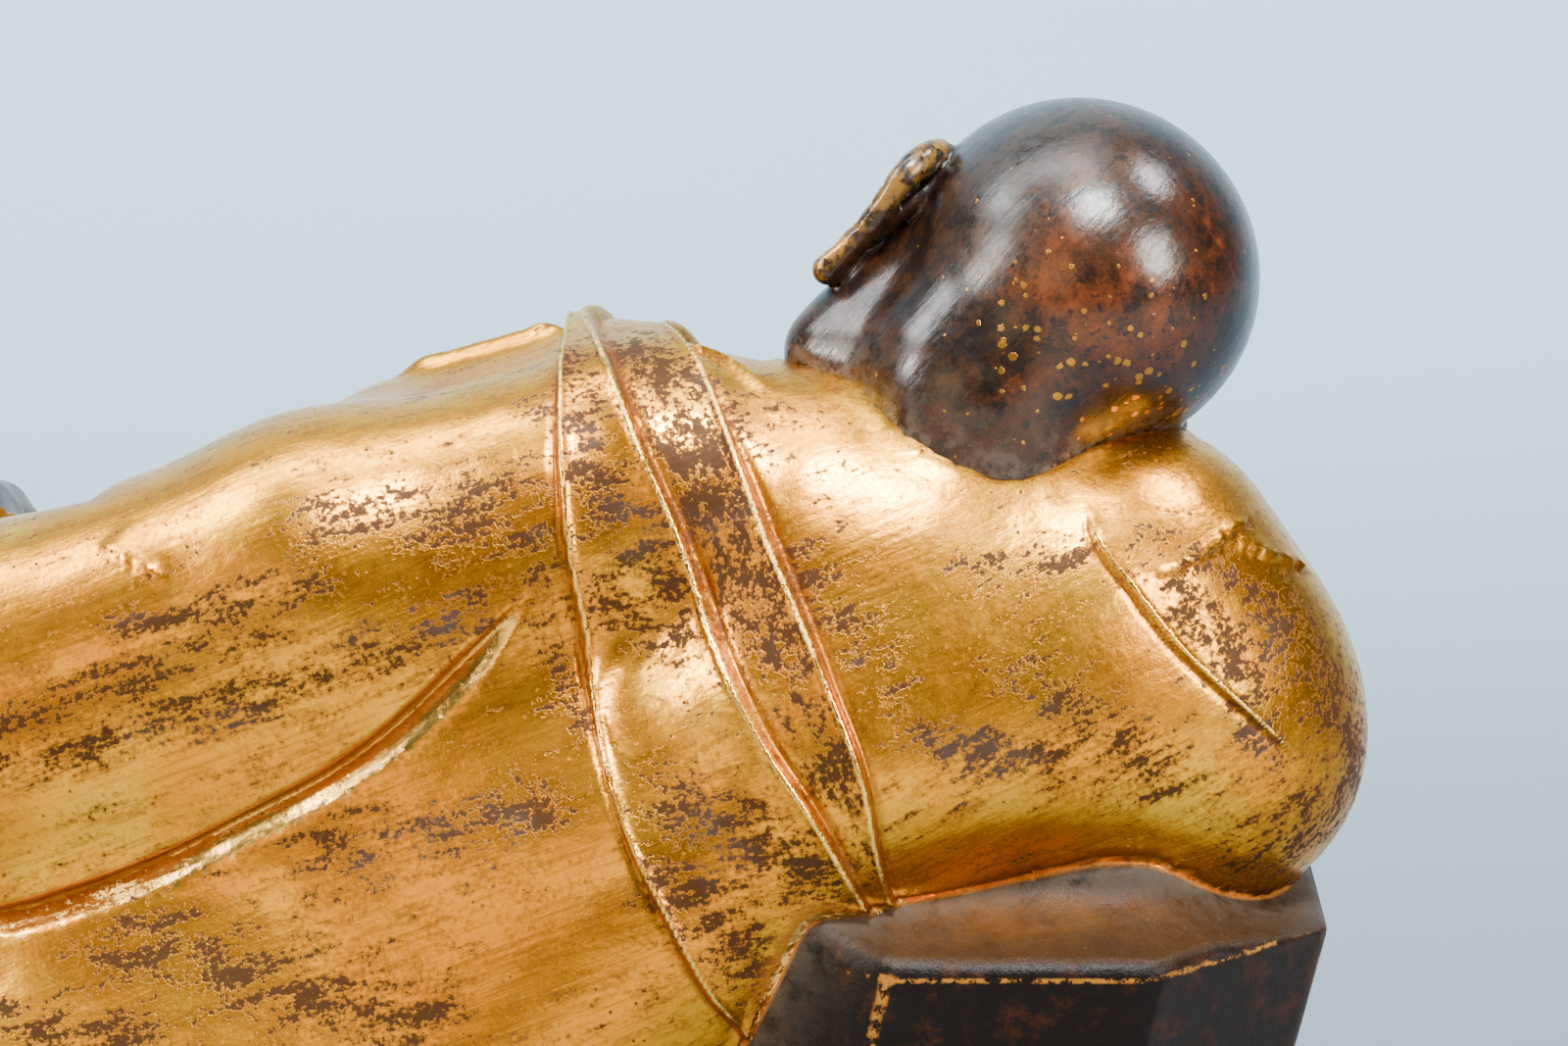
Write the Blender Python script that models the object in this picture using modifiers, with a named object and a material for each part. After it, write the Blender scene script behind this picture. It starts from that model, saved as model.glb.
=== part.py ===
"""A sleeping arhat in partly gilt bronze: a monk dozes on a rock, cast in one with it."""

import math

import bmesh
import bpy
import numpy as np
from mathutils import Matrix, Vector

# Driving sizes, in metres
HEAD_HEIGHT = 0.066
BASE_HEIGHT = 0.014
BASE_MARGIN = 0.006
FOOT_ROCK_HEIGHT = 0.022
EDGE_WEAR = 0.0012
ROCK_CURL = 0.0092
ROCK_TILT = 0.0021
SASH_STEP = 0.0019
HEM_STEP = 0.0014
GOUGE_DEPTH = 0.0026
FOLD_DEPTH = 0.0019
CREASE_DEPTH = 0.0011
VOXEL = 0.0016
TRIANGLES = 9600

# The figure is set out in millimetres of a figure whose head is 66 mm high, and then scaled
LAYOUT_HEAD = 66.0
UNIT = HEAD_HEIGHT / LAYOUT_HEAD
FIGURE_REACH = np.array([118.0, 72.0]) * UNIT
FIGURE_PLACE = np.array([0.0, 12 * UNIT, BASE_HEIGHT - 14 * UNIT])


def at(x, y, z):
    """A place on the figure, from its layout millimetres."""
    return np.array([x, y, z]) * UNIT + FIGURE_PLACE


def unit(v):
    return np.asarray(v, float) / np.linalg.norm(v)


class Ball:
    """An ellipsoid with its half-sizes along three axes of its own."""

    def __init__(self, centre, radii, axes=None):
        self.centre = np.asarray(centre, float)
        self.radii = np.ones(3) * np.asarray(radii, float) * UNIT
        self.axes = np.eye(3) if axes is None else np.asarray(axes, float)

    def distance(self, points):
        local = (points - self.centre) @ self.axes.T
        k0 = np.linalg.norm(local / self.radii, axis=1)
        k1 = np.linalg.norm(local / self.radii**2, axis=1)
        return k0 * (k0 - 1) / np.maximum(k1, 1e-6)

    def bounds(self):
        half = np.abs(self.axes.T * self.radii).sum(axis=1)
        return self.centre - half, self.centre + half

    def seed(self, bm):
        matrix = Matrix.Translation(self.centre) @ Matrix(self.axes.T.tolist()).to_4x4()
        matrix = matrix @ Matrix.Diagonal((*self.radii, 1))
        bmesh.ops.create_uvsphere(bm, u_segments=24, v_segments=16, radius=1, matrix=matrix)


class Limb:
    """A taper with round ends between two places."""

    def __init__(self, start, end, radius, end_radius=None):
        self.start = np.asarray(start, float)
        self.end = np.asarray(end, float)
        self.radius = radius * UNIT
        self.end_radius = (radius if end_radius is None else end_radius) * UNIT

    def distance(self, points):
        along = self.end - self.start
        share = np.clip((points - self.start) @ along / (along @ along), 0, 1)
        nearest = self.start + share[:, None] * along
        radius = self.radius + share * (self.end_radius - self.radius)
        return np.linalg.norm(points - nearest, axis=1) - radius

    def bounds(self):
        half = max(self.radius, self.end_radius)
        return np.minimum(self.start, self.end) - half, np.maximum(self.start, self.end) + half

    def seed(self, bm):
        thin = min(self.radius, self.end_radius)
        count = int(np.linalg.norm(self.end - self.start) / (0.5 * thin)) + 2
        for share in np.linspace(0, 1, count):
            place = Vector(self.start + share * (self.end - self.start))
            radius = self.radius + share * (self.end_radius - self.radius)
            bmesh.ops.create_icosphere(
                bm, subdivisions=2, radius=radius, matrix=Matrix.Translation(place)
            )


def smooth_path(places, count=10):
    """A curve through the places, cut into short straight lengths."""
    ends = [2 * places[0] - places[1], *places, 2 * places[-1] - places[-2]]
    path = []
    for a, b, c, d in zip(ends, ends[1:], ends[2:], ends[3:]):
        for t in np.arange(count)[:, None] / count:
            path.append(0.5 * (2 * b + (c - a) * t + (2 * a - 5 * b + 4 * c - d) * t**2
                               + (3 * b - a - 3 * c + d) * t**3).ravel())
    return np.array(path + [places[-1]])


def ramp(low, high, value):
    share = np.clip((value - low) / (high - low), 0, 1)
    return share * share * (3 - 2 * share)


def fuse(a, b, reach):
    """The union of two forms, filled in where they meet."""
    share = np.clip(0.5 + 0.5 * (b - a) / reach, 0, 1)
    return b + (a - b) * share - reach * share * (1 - share)


def carve(a, b, reach):
    """Form a with form b cut away, its edge rounded."""
    return -fuse(-a, b, reach)


def field(masses, points, reach):
    """The fused masses, each worked out only where it is near."""
    total = np.full(len(points), 0.05)
    margin = (reach + 8) * UNIT
    for mass in masses:
        low, high = mass.bounds()
        near = np.all((points > low - margin) & (points < high + margin), axis=1)
        if near.any():
            total[near] = fuse(total[near], mass.distance(points[near]), reach * UNIT)
    return total


# The head's own axes: to its left, where it faces, and up through the crown
HEAD_LEFT = unit((0.669, 0.0, 0.743))
HEAD_FRONT = unit((0.192, -0.966, -0.173))
HEAD_UP = unit(np.cross(HEAD_FRONT, HEAD_LEFT))
HEAD_AXES = np.array([HEAD_LEFT, HEAD_FRONT, HEAD_UP])
SKULL = at(-76.3, -8, 187.2)


def on_head(left, front, up):
    return SKULL + np.array([left, front, up]) @ HEAD_AXES * UNIT


def head_masses():
    masses = [
        Ball(on_head(0, -1, 0), (25.4, 28.5, 25), HEAD_AXES),
        Ball(on_head(0, 7.5, -16), (19.5, 18, 22), HEAD_AXES),
        Ball(on_head(0, 11, -31), (14.5, 12.5, 9.5), HEAD_AXES),
        Ball(on_head(0, 19.5, -36), (6, 5.5, 5), HEAD_AXES),
        Limb(on_head(0, -6, -22), at(-61, 2, 150), 17.5, 18.5),
    ]
    for side in (-1, 1):
        masses.append(Ball(on_head(side * 10.5, 16, -19.5), (8.5, 8, 9), HEAD_AXES))
        masses.append(Ball(on_head(side * 11.5, 3, -30), (8.5, 10, 9), HEAD_AXES))
        masses.append(Limb(on_head(side * 17.5, 3, -16), on_head(side * 16.5, 4, -33), 5.5, 6))
    return masses


def feature_masses():
    masses = [
        Limb(on_head(0, 22.5, -5), on_head(0, 27.5, -18), 2.3, 3.3),
        Limb(on_head(-5, 23, -26.6), on_head(0, 25.5, -25.8), 1.2, 1.7),
        Limb(on_head(5, 23, -26.6), on_head(0, 25.5, -25.8), 1.2, 1.7),
        Limb(on_head(-3.2, 23.4, -29.2), on_head(3.2, 23.4, -29.2), 1.8, 1.8),
    ]
    for side in (-1, 1):
        masses.append(Ball(on_head(side * 3.6, 24.5, -19), (2.2, 2.8, 1.9), HEAD_AXES))
        masses.append(Ball(on_head(side * 9.2, 20, -8.8), (5.6, 4.2, 3.9), HEAD_AXES))
        masses.append(Limb(on_head(side * 3.5, 23.8, -3.6), on_head(side * 10, 22.6, -1.6), 1.8, 1.8))
        masses.append(Limb(on_head(side * 10, 22.6, -1.6), on_head(side * 17, 17.2, -4.2), 1.8, 1.4))
    return masses


def ear_masses():
    """Long-lobed ears: a thin curled rim that stands off a dished plate, the right one pressed flat."""
    masses = []
    for side, flat in ((-1, 4), (1, 0)):
        rim = [
            (22, 6, -9), (24.5, 4.5, -4), (26.6, 0, -3), (28.2, -4, -6.5), (28.2, -5, -11), (27, -3.5, -16),
            (26, -1, -21),
        ]
        rim = smooth_path([on_head(side * (out - flat), front, up) for out, front, up in rim], 3)
        for step, (start, end) in enumerate(zip(rim, rim[1:])):
            masses.append(Limb(start, end, 1 + 0.5 * math.exp(-(((step - 8) / 4) ** 2))))
        masses.append(Limb(rim[-1], on_head(side * (25.6 - flat), 0, -26), 1.4, 2.2))
        lobe = on_head(side * (23.4 - flat), 2, -24.5)
        masses.append(Limb(on_head(side * (22.8 - flat), 3, -11), lobe, 2.4, 2))
        masses.append(Ball(on_head(side * (24.6 - flat), 0.5, -11), (1.6, 5, 8), HEAD_AXES))
    return masses


def body_masses():
    """The broad masses of the robed trunk, shoulders and seat."""
    return [
        Ball(at(36, 8, 44), (46, 42, 36)),
        Limb(at(28, 10, 60), at(-38, 8, 126), 37, 32),
        Limb(at(-18, 0, 157.5), at(-50, 3, 147.5), 17, 22.5),
        Limb(at(-40, 4, 154.5), at(-74, 6, 141.5), 19, 23),
        Ball(at(-84.5, 2, 145), 21.2),
        Ball(at(-92.5, 4, 120.5), (24.6, 24, 23.5)),
        Ball(at(-64, 7, 127), (29, 25, 24)),
        Ball(at(16, 7, 110), (34, 26, 34)),
        Limb(at(6, 5, 140), at(84, 3, 108), 20, 19),
        Ball(at(54, 6, 66), (50, 36, 50)),
        Ball(at(20, 16, 30), (52, 38, 40)),
        Ball(at(34, -6, 15), (82, 66, 12)),
    ]


def sleeve_and_leg_masses():
    return [
        Limb(at(-14, 4, 158), at(30, 6, 145.8), 21, 23.2),
        Limb(at(30, 6, 145.8), at(76, 4, 128.2), 23.2, 24.2),
        Limb(at(20, -12, 158.5), at(-10, -10, 167), 12.5, 12),
        Limb(at(46, 8, 127), at(86, 4, 120), 20, 22),
        Limb(at(76, 4, 128), at(92, -38, 131), 22.5, 14),
        Limb(at(40, -4, 128), at(80, -30, 116), 15, 13),
        Limb(at(40, -10, 44), at(90, -46, 116), 30, 19),
        Limb(at(90, -48, 120), at(95, -54, 30), 18, 19),
        Limb(at(88, -30, 88), at(84, -34, 22), 20, 25),
        Limb(at(8, -6, 40), at(-32, -58, 36), 30, 21),
        Limb(at(-32, -58, 36), at(40, -68, 28), 20, 16),
        Limb(at(-92, 2, 128), at(-97, -44, 122), 23, 17),
    ]


def robe_masses():
    return body_masses() + sleeve_and_leg_masses()


def skin_masses():
    """The bare forearm, the palms, and the feet up to the toes."""
    return [
        Limb(at(-95, -45, 121), at(-85, -37, 140), 10.5, 8.5),
        Limb(at(-85, -37, 140), at(-80, -28, 153), 8.5, 9.5),
        Limb(at(-84, -32, 148), at(-86, -27, 157), 8, 7),
        Limb(at(88, -38, 132), at(93, -56, 138), 9.5, 8),
        Ball(at(94, -62, 137), (10.5, 8, 6.5)),
        Limb(at(94, -46, 26), at(97, -68, 22), 11, 8.5),
        Limb(at(36, -68, 27), at(68, -72, 22.5), 11, 8),
    ]


def digit_masses():
    """Fingers and toes, each bent once."""
    digits = [
        (at(-83, -36, 144), at(-75, -34, 151), at(-66.5, -24.5, 156.5), 4.4, 3.4, 2.8),
        (at(88, -56, 138), at(83.5, -66, 133), at(83.5, -69.5, 125), 4.0, 3.2, 2.6),
    ]
    for finger in range(4):
        spread = finger - 1.5
        digits.append((
            at(-84 + 3.2 * spread, -30 + 1.0 * spread, 154 + 1.2 * spread),
            at(-85 + 4.0 * spread, -28.5 - 0.6 * spread, 162.5 + 1.4 * spread),
            at(-85 + 3.8 * spread, -24 - 1.0 * spread, 170.5 + 1.5 * spread), 3.9, 3.1, 2.4,
        ))
        length = 17 - 1.3 * abs(finger - 1.3)
        digits.append((
            at(89 + 3.4 * finger, -65, 138), at(95.5 + 5.1 * spread, -71.5, 132.5),
            at(95 + 5.3 * spread, -72.5, 132 - length), 3.9, 3.1, 2.4,
        ))
    for toe in range(5):
        size = 4.4 if toe == 0 else 3.4 - 0.2 * toe
        digits.append((
            at(91 + 3.2 * toe, -66, 21), at(89.5 + 4.0 * toe, -77 + 0.6 * toe**1.5, 19.5),
            at(89 + 4.3 * toe, -83.5 + 0.8 * toe**1.5, 17), size + 0.6, size, size - 0.5,
        ))
        digits.append((
            at(66, -68 - 2.2 * toe, 23), at(78 - 0.6 * toe**1.5, -62.5 - 4.2 * toe, 20),
            at(84.5 - 0.8 * toe**1.5, -62 - 4.4 * toe, 17.5), size + 0.6, size, size - 0.5,
        ))
    masses = []
    for root, bend, tip, thick, middle, thin in digits:
        masses.append(Limb(root, bend, thick, middle))
        masses.append(Limb(bend, tip, middle, thin))
    return masses


def robe_form(points):
    body = field(body_masses(), points, 15)
    return fuse(body, field(sleeve_and_leg_masses(), points, 7), 9 * UNIT)


def head_form(points):
    head = field(head_masses(), points, 6)
    head = fuse(head, field(feature_masses(), points, 1.5), 2.5 * UNIT)
    return fuse(head, field(ear_masses(), points, 2), 1.5 * UNIT)


def skin_form(points):
    return fuse(field(skin_masses(), points, 3), field(digit_masses(), points, 0.7), 1.5 * UNIT)


class Block:
    """A block with flat sides that stand on a plan, and lean along X by a share of the height."""

    def __init__(self, plan, low, high, lean=0.0, draw_in=0.0):
        centre = np.mean(plan, axis=0)
        self.corners = []
        for x, y in plan:
            for height, share in ((low, 0), (high, 1)):
                inward = (centre - (x, y)) / np.linalg.norm(centre - (x, y)) * draw_in * share
                self.corners.append((x + inward[0] + lean * (high - height), y + inward[1], height))
        self.corners = np.array(self.corners)
        self.planes = [((0, 0, 1), high), ((0, 0, -1), -low)]
        count = len(plan)
        for i in range(count):
            a, b, c = (self.corners[k % (2 * count)] for k in (2 * i, 2 * i + 2, 2 * i + 1))
            out = unit(np.cross(b - a, c - a))
            self.planes.append((out, out @ a))

    def bounds(self):
        return self.corners.min(axis=0), self.corners.max(axis=0)

    def distance(self, points):
        total = np.full(len(points), -1.0)
        for out, offset in self.planes:
            total = carve(total, offset - points @ np.array(out, float), EDGE_WEAR)
        return total

    def seed(self, bm):
        verts = [bm.verts.new(corner) for corner in self.corners]
        bmesh.ops.convex_hull(bm, input=verts)


def on_plan(*places):
    return [tuple(at(x, y, 0)[:2]) for x, y in places]


def rock_masses():
    half = FIGURE_REACH + BASE_MARGIN
    plan = []
    for turn, (cut_x, cut_y) in enumerate(((0.05, 0.16), (0.09, 0.2), (0.06, 0.14), (0.1, 0.22))):
        x, y = half * ((1, -1, -1, 1)[turn], (1, 1, -1, -1)[turn])
        ends = [(x, y * (1 - 2 * cut_y)), (x * (1 - 2 * cut_x), y)]
        plan += ends if turn % 2 == 0 else ends[::-1]
    top = on_plan(
        (-20, 27), (-48.4, 46), (-85.5, 46), (-111, 25), (-112, -12), (-106, -46), (-88, -64), (-62, -60),
        (-32, -38), (-14, -5),
    )
    foot = on_plan((-58, 40), (-92, 44), (-118, 20), (-120, -20), (-104, -56), (-70, -62), (-50, 0))
    return [
        Block(plan, -0.01, BASE_HEIGHT),
        Block(top, BASE_HEIGHT / 2, at(0, 0, 100.8)[2], lean=0.23),
        Block(foot, BASE_HEIGHT / 2, BASE_HEIGHT + FOOT_ROCK_HEIGHT, draw_in=0.008),
        Ball(at(-76, 0, 99), (34, 27, 10)),
    ]


def curl(points, robe):
    """How far the rock's top is raised: it tilts, and curls up to a peak against the robe above it."""
    peak = np.exp(-(((points[:, 0] - at(-81, 0, 0)[0]) / (14 * UNIT)) ** 2))
    lift = ROCK_CURL * ramp(at(-106, 0, 0)[0], at(-84, 0, 0)[0], points[:, 0]) * (0.5 + 0.5 * peak)
    lift = lift * np.exp(-np.maximum(robe, 0) / (5.5 * UNIT))
    lift = lift + ROCK_TILT * ramp(at(-112, 0, 0)[0], at(-86, 0, 0)[0], points[:, 0])
    return lift * ramp(at(0, 0, 66)[2], at(0, 0, 98)[2], points[:, 2])


def rock_form(points, robe):
    sunk = points - np.outer(curl(points, robe), (0, 0, 1))
    return field(rock_masses(), sunk, 1.5)


def statue_form(points):
    robe = robe_form(points)
    skin = np.minimum(head_form(points), skin_form(points))
    return np.minimum(fuse(robe, skin, 0.8 * UNIT), rock_form(points, robe))


def seeded(name, masses):
    """One object that holds a plain body for each mass."""
    bm = bmesh.new()
    for mass in masses:
        mass.seed(bm)
    mesh = bpy.data.meshes.new(name)
    bm.to_mesh(mesh)
    bm.free()
    return bpy.data.objects.new(name, mesh)


def inner_cells(form, low, high, size):
    """Small cubes that fill a form, so that no gap is left between the plain bodies."""
    grid = np.stack(np.meshgrid(*(np.arange(a, b, size) for a, b in zip(low, high))), axis=-1)
    centres = grid.reshape(-1, 3)
    centres = centres[form(centres) < -0.4 * size]
    corners = np.array([(x, y, z) for x in (-1, 1) for y in (-1, 1) for z in (-1, 1)]) * 0.5 * size
    sides = np.array([(0, 1, 3, 2), (4, 6, 7, 5), (0, 4, 5, 1), (2, 3, 7, 6), (0, 2, 6, 4), (1, 5, 7, 3)])
    starts = np.arange(len(centres)) * 8
    mesh = bpy.data.meshes.new("inner_cells")
    places = (centres[:, None] + corners).reshape(-1, 3)
    faces = (starts[:, None, None] + sides).reshape(-1, 4)
    mesh.from_pydata(places.tolist(), [], faces.tolist())
    return mesh


def settled(obj):
    """An object's mesh with its modifiers applied."""
    bpy.context.view_layer.update()
    return bpy.data.meshes.new_from_object(obj.evaluated_get(bpy.context.evaluated_depsgraph_get()))


def slope(form, points, level, step=0.0001):
    return np.stack([(form(points + axis) - level) / step for axis in np.eye(3) * step], axis=1)


def draw_onto(form, points, rounds=3):
    """Points moved onto a form's surface, and the way out from it there."""
    for _ in range(rounds):
        level = form(points)
        out = slope(form, points, level)
        size = np.maximum((out**2).sum(axis=1), 0.2)
        points = points - np.clip(level / size, -0.004, 0.004)[:, None] * out
    return points, out / np.linalg.norm(out, axis=1)[:, None]


class Line:
    """A line of carving over the figure, through places near its surface."""

    def __init__(self, *places, height=FOLD_DEPTH, width=3.0, fade=0.12):
        drawn, _ = draw_onto(statue_form, smooth_path([at(*place) for place in places]), rounds=5)
        self.path = drawn
        self.height = height
        self.width = width * UNIT
        self.fade = fade

    def reach(self):
        return 3.2 * self.width

    def profile(self, side):
        """A soft hollow, or a ridge where the height is above zero."""
        return np.exp(-np.abs(side) ** 1.5)

    def relief(self, points, out):
        """How far the carving raises each point, given the way out of the surface there."""
        relief = np.zeros(len(points))
        low, high = self.path.min(axis=0) - self.reach(), self.path.max(axis=0) + self.reach()
        near = np.flatnonzero(np.all((points > low) & (points < high), axis=1))
        if not len(near):
            return relief
        best = np.full(len(near), np.inf)
        side = np.zeros(len(near))
        along = np.zeros(len(near))
        count = len(self.path) - 1
        for i, (start, end) in enumerate(zip(self.path, self.path[1:])):
            way = end - start
            offset = points[near] - start
            share = np.clip(offset @ way / (way @ way), 0, 1)
            offset = offset - share[:, None] * way
            gap = np.linalg.norm(offset, axis=1)
            closer = gap < best
            turn = (np.cross(out[near], way) * offset).sum(axis=1)
            best[closer] = gap[closer]
            side[closer] = (np.sign(turn) * gap)[closer]
            along[closer] = (i + share[closer]) / count
        fade = ramp(0, self.fade, along) * ramp(0, self.fade, 1 - along) if self.fade else 1
        width = self.width * (0.3 + 0.7 * fade)
        relief[near] = self.height * fade * self.profile(side / width) * (best < self.reach())
        return relief


class Edge(Line):
    """The edge of a layer of cloth, which stands up on the left of the line's own way."""

    def profile(self, side):
        lip = 0.25 * np.exp(-(((side - 0.12) / 0.14) ** 2))
        foot = 0.2 * np.exp(-(((side + 0.18) / 0.16) ** 2))
        return ramp(-0.2, 0.14, side) * np.exp(-np.maximum(side, 0) * 0.9) + lip - foot


class Cut(Line):
    """A sickle-shaped cut, steep on the right of the line's own way and a broad facet on its left."""

    def profile(self, side):
        return np.where(side < 0, ramp(-0.4, 0, side), np.clip(1 - side, 0, 1))


def around(centre, way, radius):
    """A ring of places round a limb, in layout millimetres."""
    way = unit(way)
    across = unit(np.cross(way, (0, 0, 1) if abs(way[2]) < 0.9 else (1, 0, 0)))
    other = np.cross(way, across)
    turns = np.linspace(0, 2 * math.pi, 9)
    return [np.array(centre) + radius * (math.cos(t) * across + math.sin(t) * other) for t in turns]


def carving():
    """Every line of the robe's carving."""
    band_left = Edge(
        (-42, -36, 76), (-36, -33, 92), (-26, -31, 112), (-16, -28, 134), (-8, -20, 156), (-5, -14, 172),
        (-4, -8, 178), (-3.5, 5.5, 178), (-3.5, 16.5, 173), (-4, 25, 161.5), (-4.5, 25.5, 156.5),
        (-6, 24, 144.5), (-9, 30.5, 132), (-13, 39, 119.5), (-18.5, 42, 108), (-23.5, 40.5, 97.5),
        (-29, 35.5, 88.5), (-38, 32, 70), height=SASH_STEP, width=5,
    )
    band_middle = Edge(
        (-50, 30, 100), (-45, 35.5, 109), (-38.5, 40, 122.5), (-31.5, 38.5, 133.5), (-25.5, 31, 145),
        (-21, 25.5, 156.5), (-15, 22, 169), (-10.5, 11, 177.5), (-7, -6, 180), (-9, -12, 174),
        (-16, -20, 158), (-27, -27, 138), (-38, -30, 118), (-48, -30, 102), height=SASH_STEP, width=6,
    )
    band_right = Edge(
        (-54, 28, 102), (-48.5, 34.5, 110), (-45, 39, 128), (-41, 37, 138.5), (-37.5, 33, 147),
        (-33, 27.5, 157), (-26, 18, 171.5), (-19.5, 2.5, 179), (-18, -8, 176), (-26, -18, 160),
        (-38, -25, 143), (-48, -26, 124), (-54, -24, 108), height=SASH_STEP, width=6,
    )
    neckline = Edge(
        (-36, -5, 176), (-38, -16, 164), (-42, -24, 146), (-54, -24, 142), (-68, -18, 148), (-80, -12, 158),
        height=HEM_STEP, width=4,
    )
    sleeve_cut = Cut(
        (-1, 26, 152), (9, 26, 141.5), (19.5, 28.5, 131.5), (29, 29, 124.5), (40.5, 28, 118),
        (50.5, 26, 112.5), (61.5, 26, 107.5), (75.5, 25, 103), (90, 18, 100),
        height=-GOUGE_DEPTH, width=3.6, fade=0.16,
    )
    shoulder_edge = Edge(
        (-75.5, 21.5, 161.5), (-77.5, 26, 156), (-81.5, 28, 151), (-88, 29, 143), (-98, 27.5, 133),
        (-108, 23.5, 123), height=0.6 * SASH_STEP, width=4, fade=0.2,
    )
    far_rim = Line(
        (22, -13, 166), (12, -11, 174), (4, -10, 177), (-5, -9, 178), height=1.2 * SASH_STEP, width=2, fade=0.2,
    )
    lines = [band_left, band_middle, band_right, neckline, sleeve_cut, shoulder_edge, far_rim]
    creases = (
        ((-18, 2.5, 179.5), (-24, 4, 178), (-29, 9, 176), (-33, 13, 173.5)),
        ((61.5, 18.5, 154.5), (56, 22, 153), (50, 25.5, 150.5)),
        ((-81.5, 28, 151.5), (-91.5, 23, 154), (-100.5, 10.5, 157.5)),
        ((-94, 20.5, 156), (-103, 14.5, 151.5), (-110, 5.5, 146)),
    )
    for places in creases:
        lines.append(Edge(*places, height=CREASE_DEPTH, width=2.4, fade=0.3))
    hollows = (
        ((34, 44, 84), (40, 46, 60), (44, 46, 44), (40, 50, 22)),
        ((62, 38, 84), (70, 38, 60), (76, 38, 26)),
        ((-6, 44, 84), (2, 46, 64), (6, 48, 36), (2, 52, 20)),
        ((92, 14, 112), (102, 8, 66), (104, 10, 26)),
        ((96, -20, 116), (106, -22, 70), (108, -20, 30)),
        ((80, -42, 120), (52, -36, 96), (28, -34, 84)),
        ((82, -42, 104), (56, -42, 78), (30, -44, 66)),
        ((80, -46, 86), (58, -50, 60), (38, -58, 50)),
        ((78, -60, 112), (80, -66, 70), (78, -64, 36)),
        ((92, -70, 112), (96, -74, 70), (96, -74, 38)),
        ((-34, -36, 92), (-8, -38, 76), (16, -36, 72)),
        ((-34, -44, 76), (-6, -50, 62), (22, -50, 60)),
        ((-40, -74, 44), (-10, -84, 40), (24, -84, 34)),
        ((-36, -62, 56), (-6, -72, 50), (30, -74, 42)),
        ((-20, -34, 112), (10, -38, 100), (40, -32, 98)),
        ((-28, -38, 96), (4, -44, 86), (36, -42, 86)),
        ((-8, -28, 134), (16, -32, 120), (42, -26, 112)),
        ((2, -14, 158), (34, -16, 142), (62, -16, 134)),
        ((8, -14, 146), (40, -22, 128), (70, -34, 118)),
        ((76, -30, 150), (70, -8, 152), (58, 10, 152)),
        ((-76, -18, 150), (-92, -28, 142), (-106, -38, 132)),
        ((-66, -22, 130), (-84, -36, 118), (-96, -56, 112)),
    )
    for index, places in enumerate(hollows):
        depth = FOLD_DEPTH * (1 + 0.15 * (index % 3 - 1))
        lines.append(Line(*places, height=-depth, width=3.6 + 0.5 * (index % 2), fade=0.3))
    lines.append(Edge(
        (-44, -60, 62), (-20, -62, 62), (8, -52, 66), (34, -50, 74), (58, -54, 92), (72, -60, 112),
        (80, -62, 124), height=HEM_STEP, width=5,
    ))
    cuffs = (
        ((-90, -42, 131), (13, 13, 23), 12),
        ((91, -44, 134), (5, -18, 6), 13),
        ((34, -67, 28), (34, -4, -4), 15),
        ((94, -52, 30), (1, -4, -12), 18),
    )
    for centre, way, radius in cuffs:
        lines.append(Edge(*around(centre, way, radius), height=HEM_STEP, width=3.5, fade=0))
    return lines


for old in list(bpy.data.objects):
    bpy.data.objects.remove(old, do_unlink=True)
collection = bpy.data.collections.new("sleeping_arhat")
bpy.context.scene.collection.children.link(collection)

masses = robe_masses() + head_masses() + feature_masses() + ear_masses()
statue = seeded("sleeping_arhat", masses + skin_masses() + digit_masses() + rock_masses())
collection.objects.link(statue)
reach = FIGURE_REACH + BASE_MARGIN
cells = inner_cells(statue_form, (*-reach, VOXEL), (*reach, at(0, 0, 214)[2]), 1.6 * VOXEL)
bm = bmesh.new()
bm.from_mesh(statue.data)
bm.from_mesh(cells)
bm.to_mesh(statue.data)
bm.free()
remesh = statue.modifiers.new("fuse", "REMESH")
remesh.mode = "VOXEL"
remesh.voxel_size = VOXEL
fused = settled(statue)
statue.modifiers.clear()
flat = np.empty(len(fused.vertices) * 3)
fused.vertices.foreach_get("co", flat)
points, out = draw_onto(statue_form, flat.reshape(-1, 3))
points += out * sum(line.relief(points, out) for line in carving())[:, None]
fused.vertices.foreach_set("co", points.ravel())
fused.update()
statue.data = fused

thin_out = statue.modifiers.new("facets", "DECIMATE")
thin_out.ratio = TRIANGLES / sum(len(face.vertices) - 2 for face in fused.polygons)
faceted = settled(statue)
statue.modifiers.clear()
bm = bmesh.new()
bm.from_mesh(faceted)
every = bm.verts[:] + bm.edges[:] + bm.faces[:]
cut = bmesh.ops.bisect_plane(bm, geom=every, plane_co=(0, 0, 0), plane_no=(0, 0, -1), clear_outer=True)
rim = [item for item in cut["geom_cut"] if isinstance(item, bmesh.types.BMEdge)]
bmesh.ops.holes_fill(bm, edges=rim, sides=0)
bmesh.ops.triangulate(bm, faces=[face for face in bm.faces if len(face.verts) > 3])
bmesh.ops.recalc_face_normals(bm, faces=bm.faces)
bm.to_mesh(faceted)
bm.free()
statue.data = faceted

bronze = bpy.data.materials.new("gilt_bronze")
bronze.use_nodes = True
shader = bronze.node_tree.nodes["Principled BSDF"]
shader.inputs["Base Color"].default_value = (0.72, 0.46, 0.12, 1)
shader.inputs["Metallic"].default_value = 1
shader.inputs["Roughness"].default_value = 0.34
statue.data.materials.append(bronze)
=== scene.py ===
import math

import bmesh
import bpy
import numpy as np
from mathutils import Matrix, Vector


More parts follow.
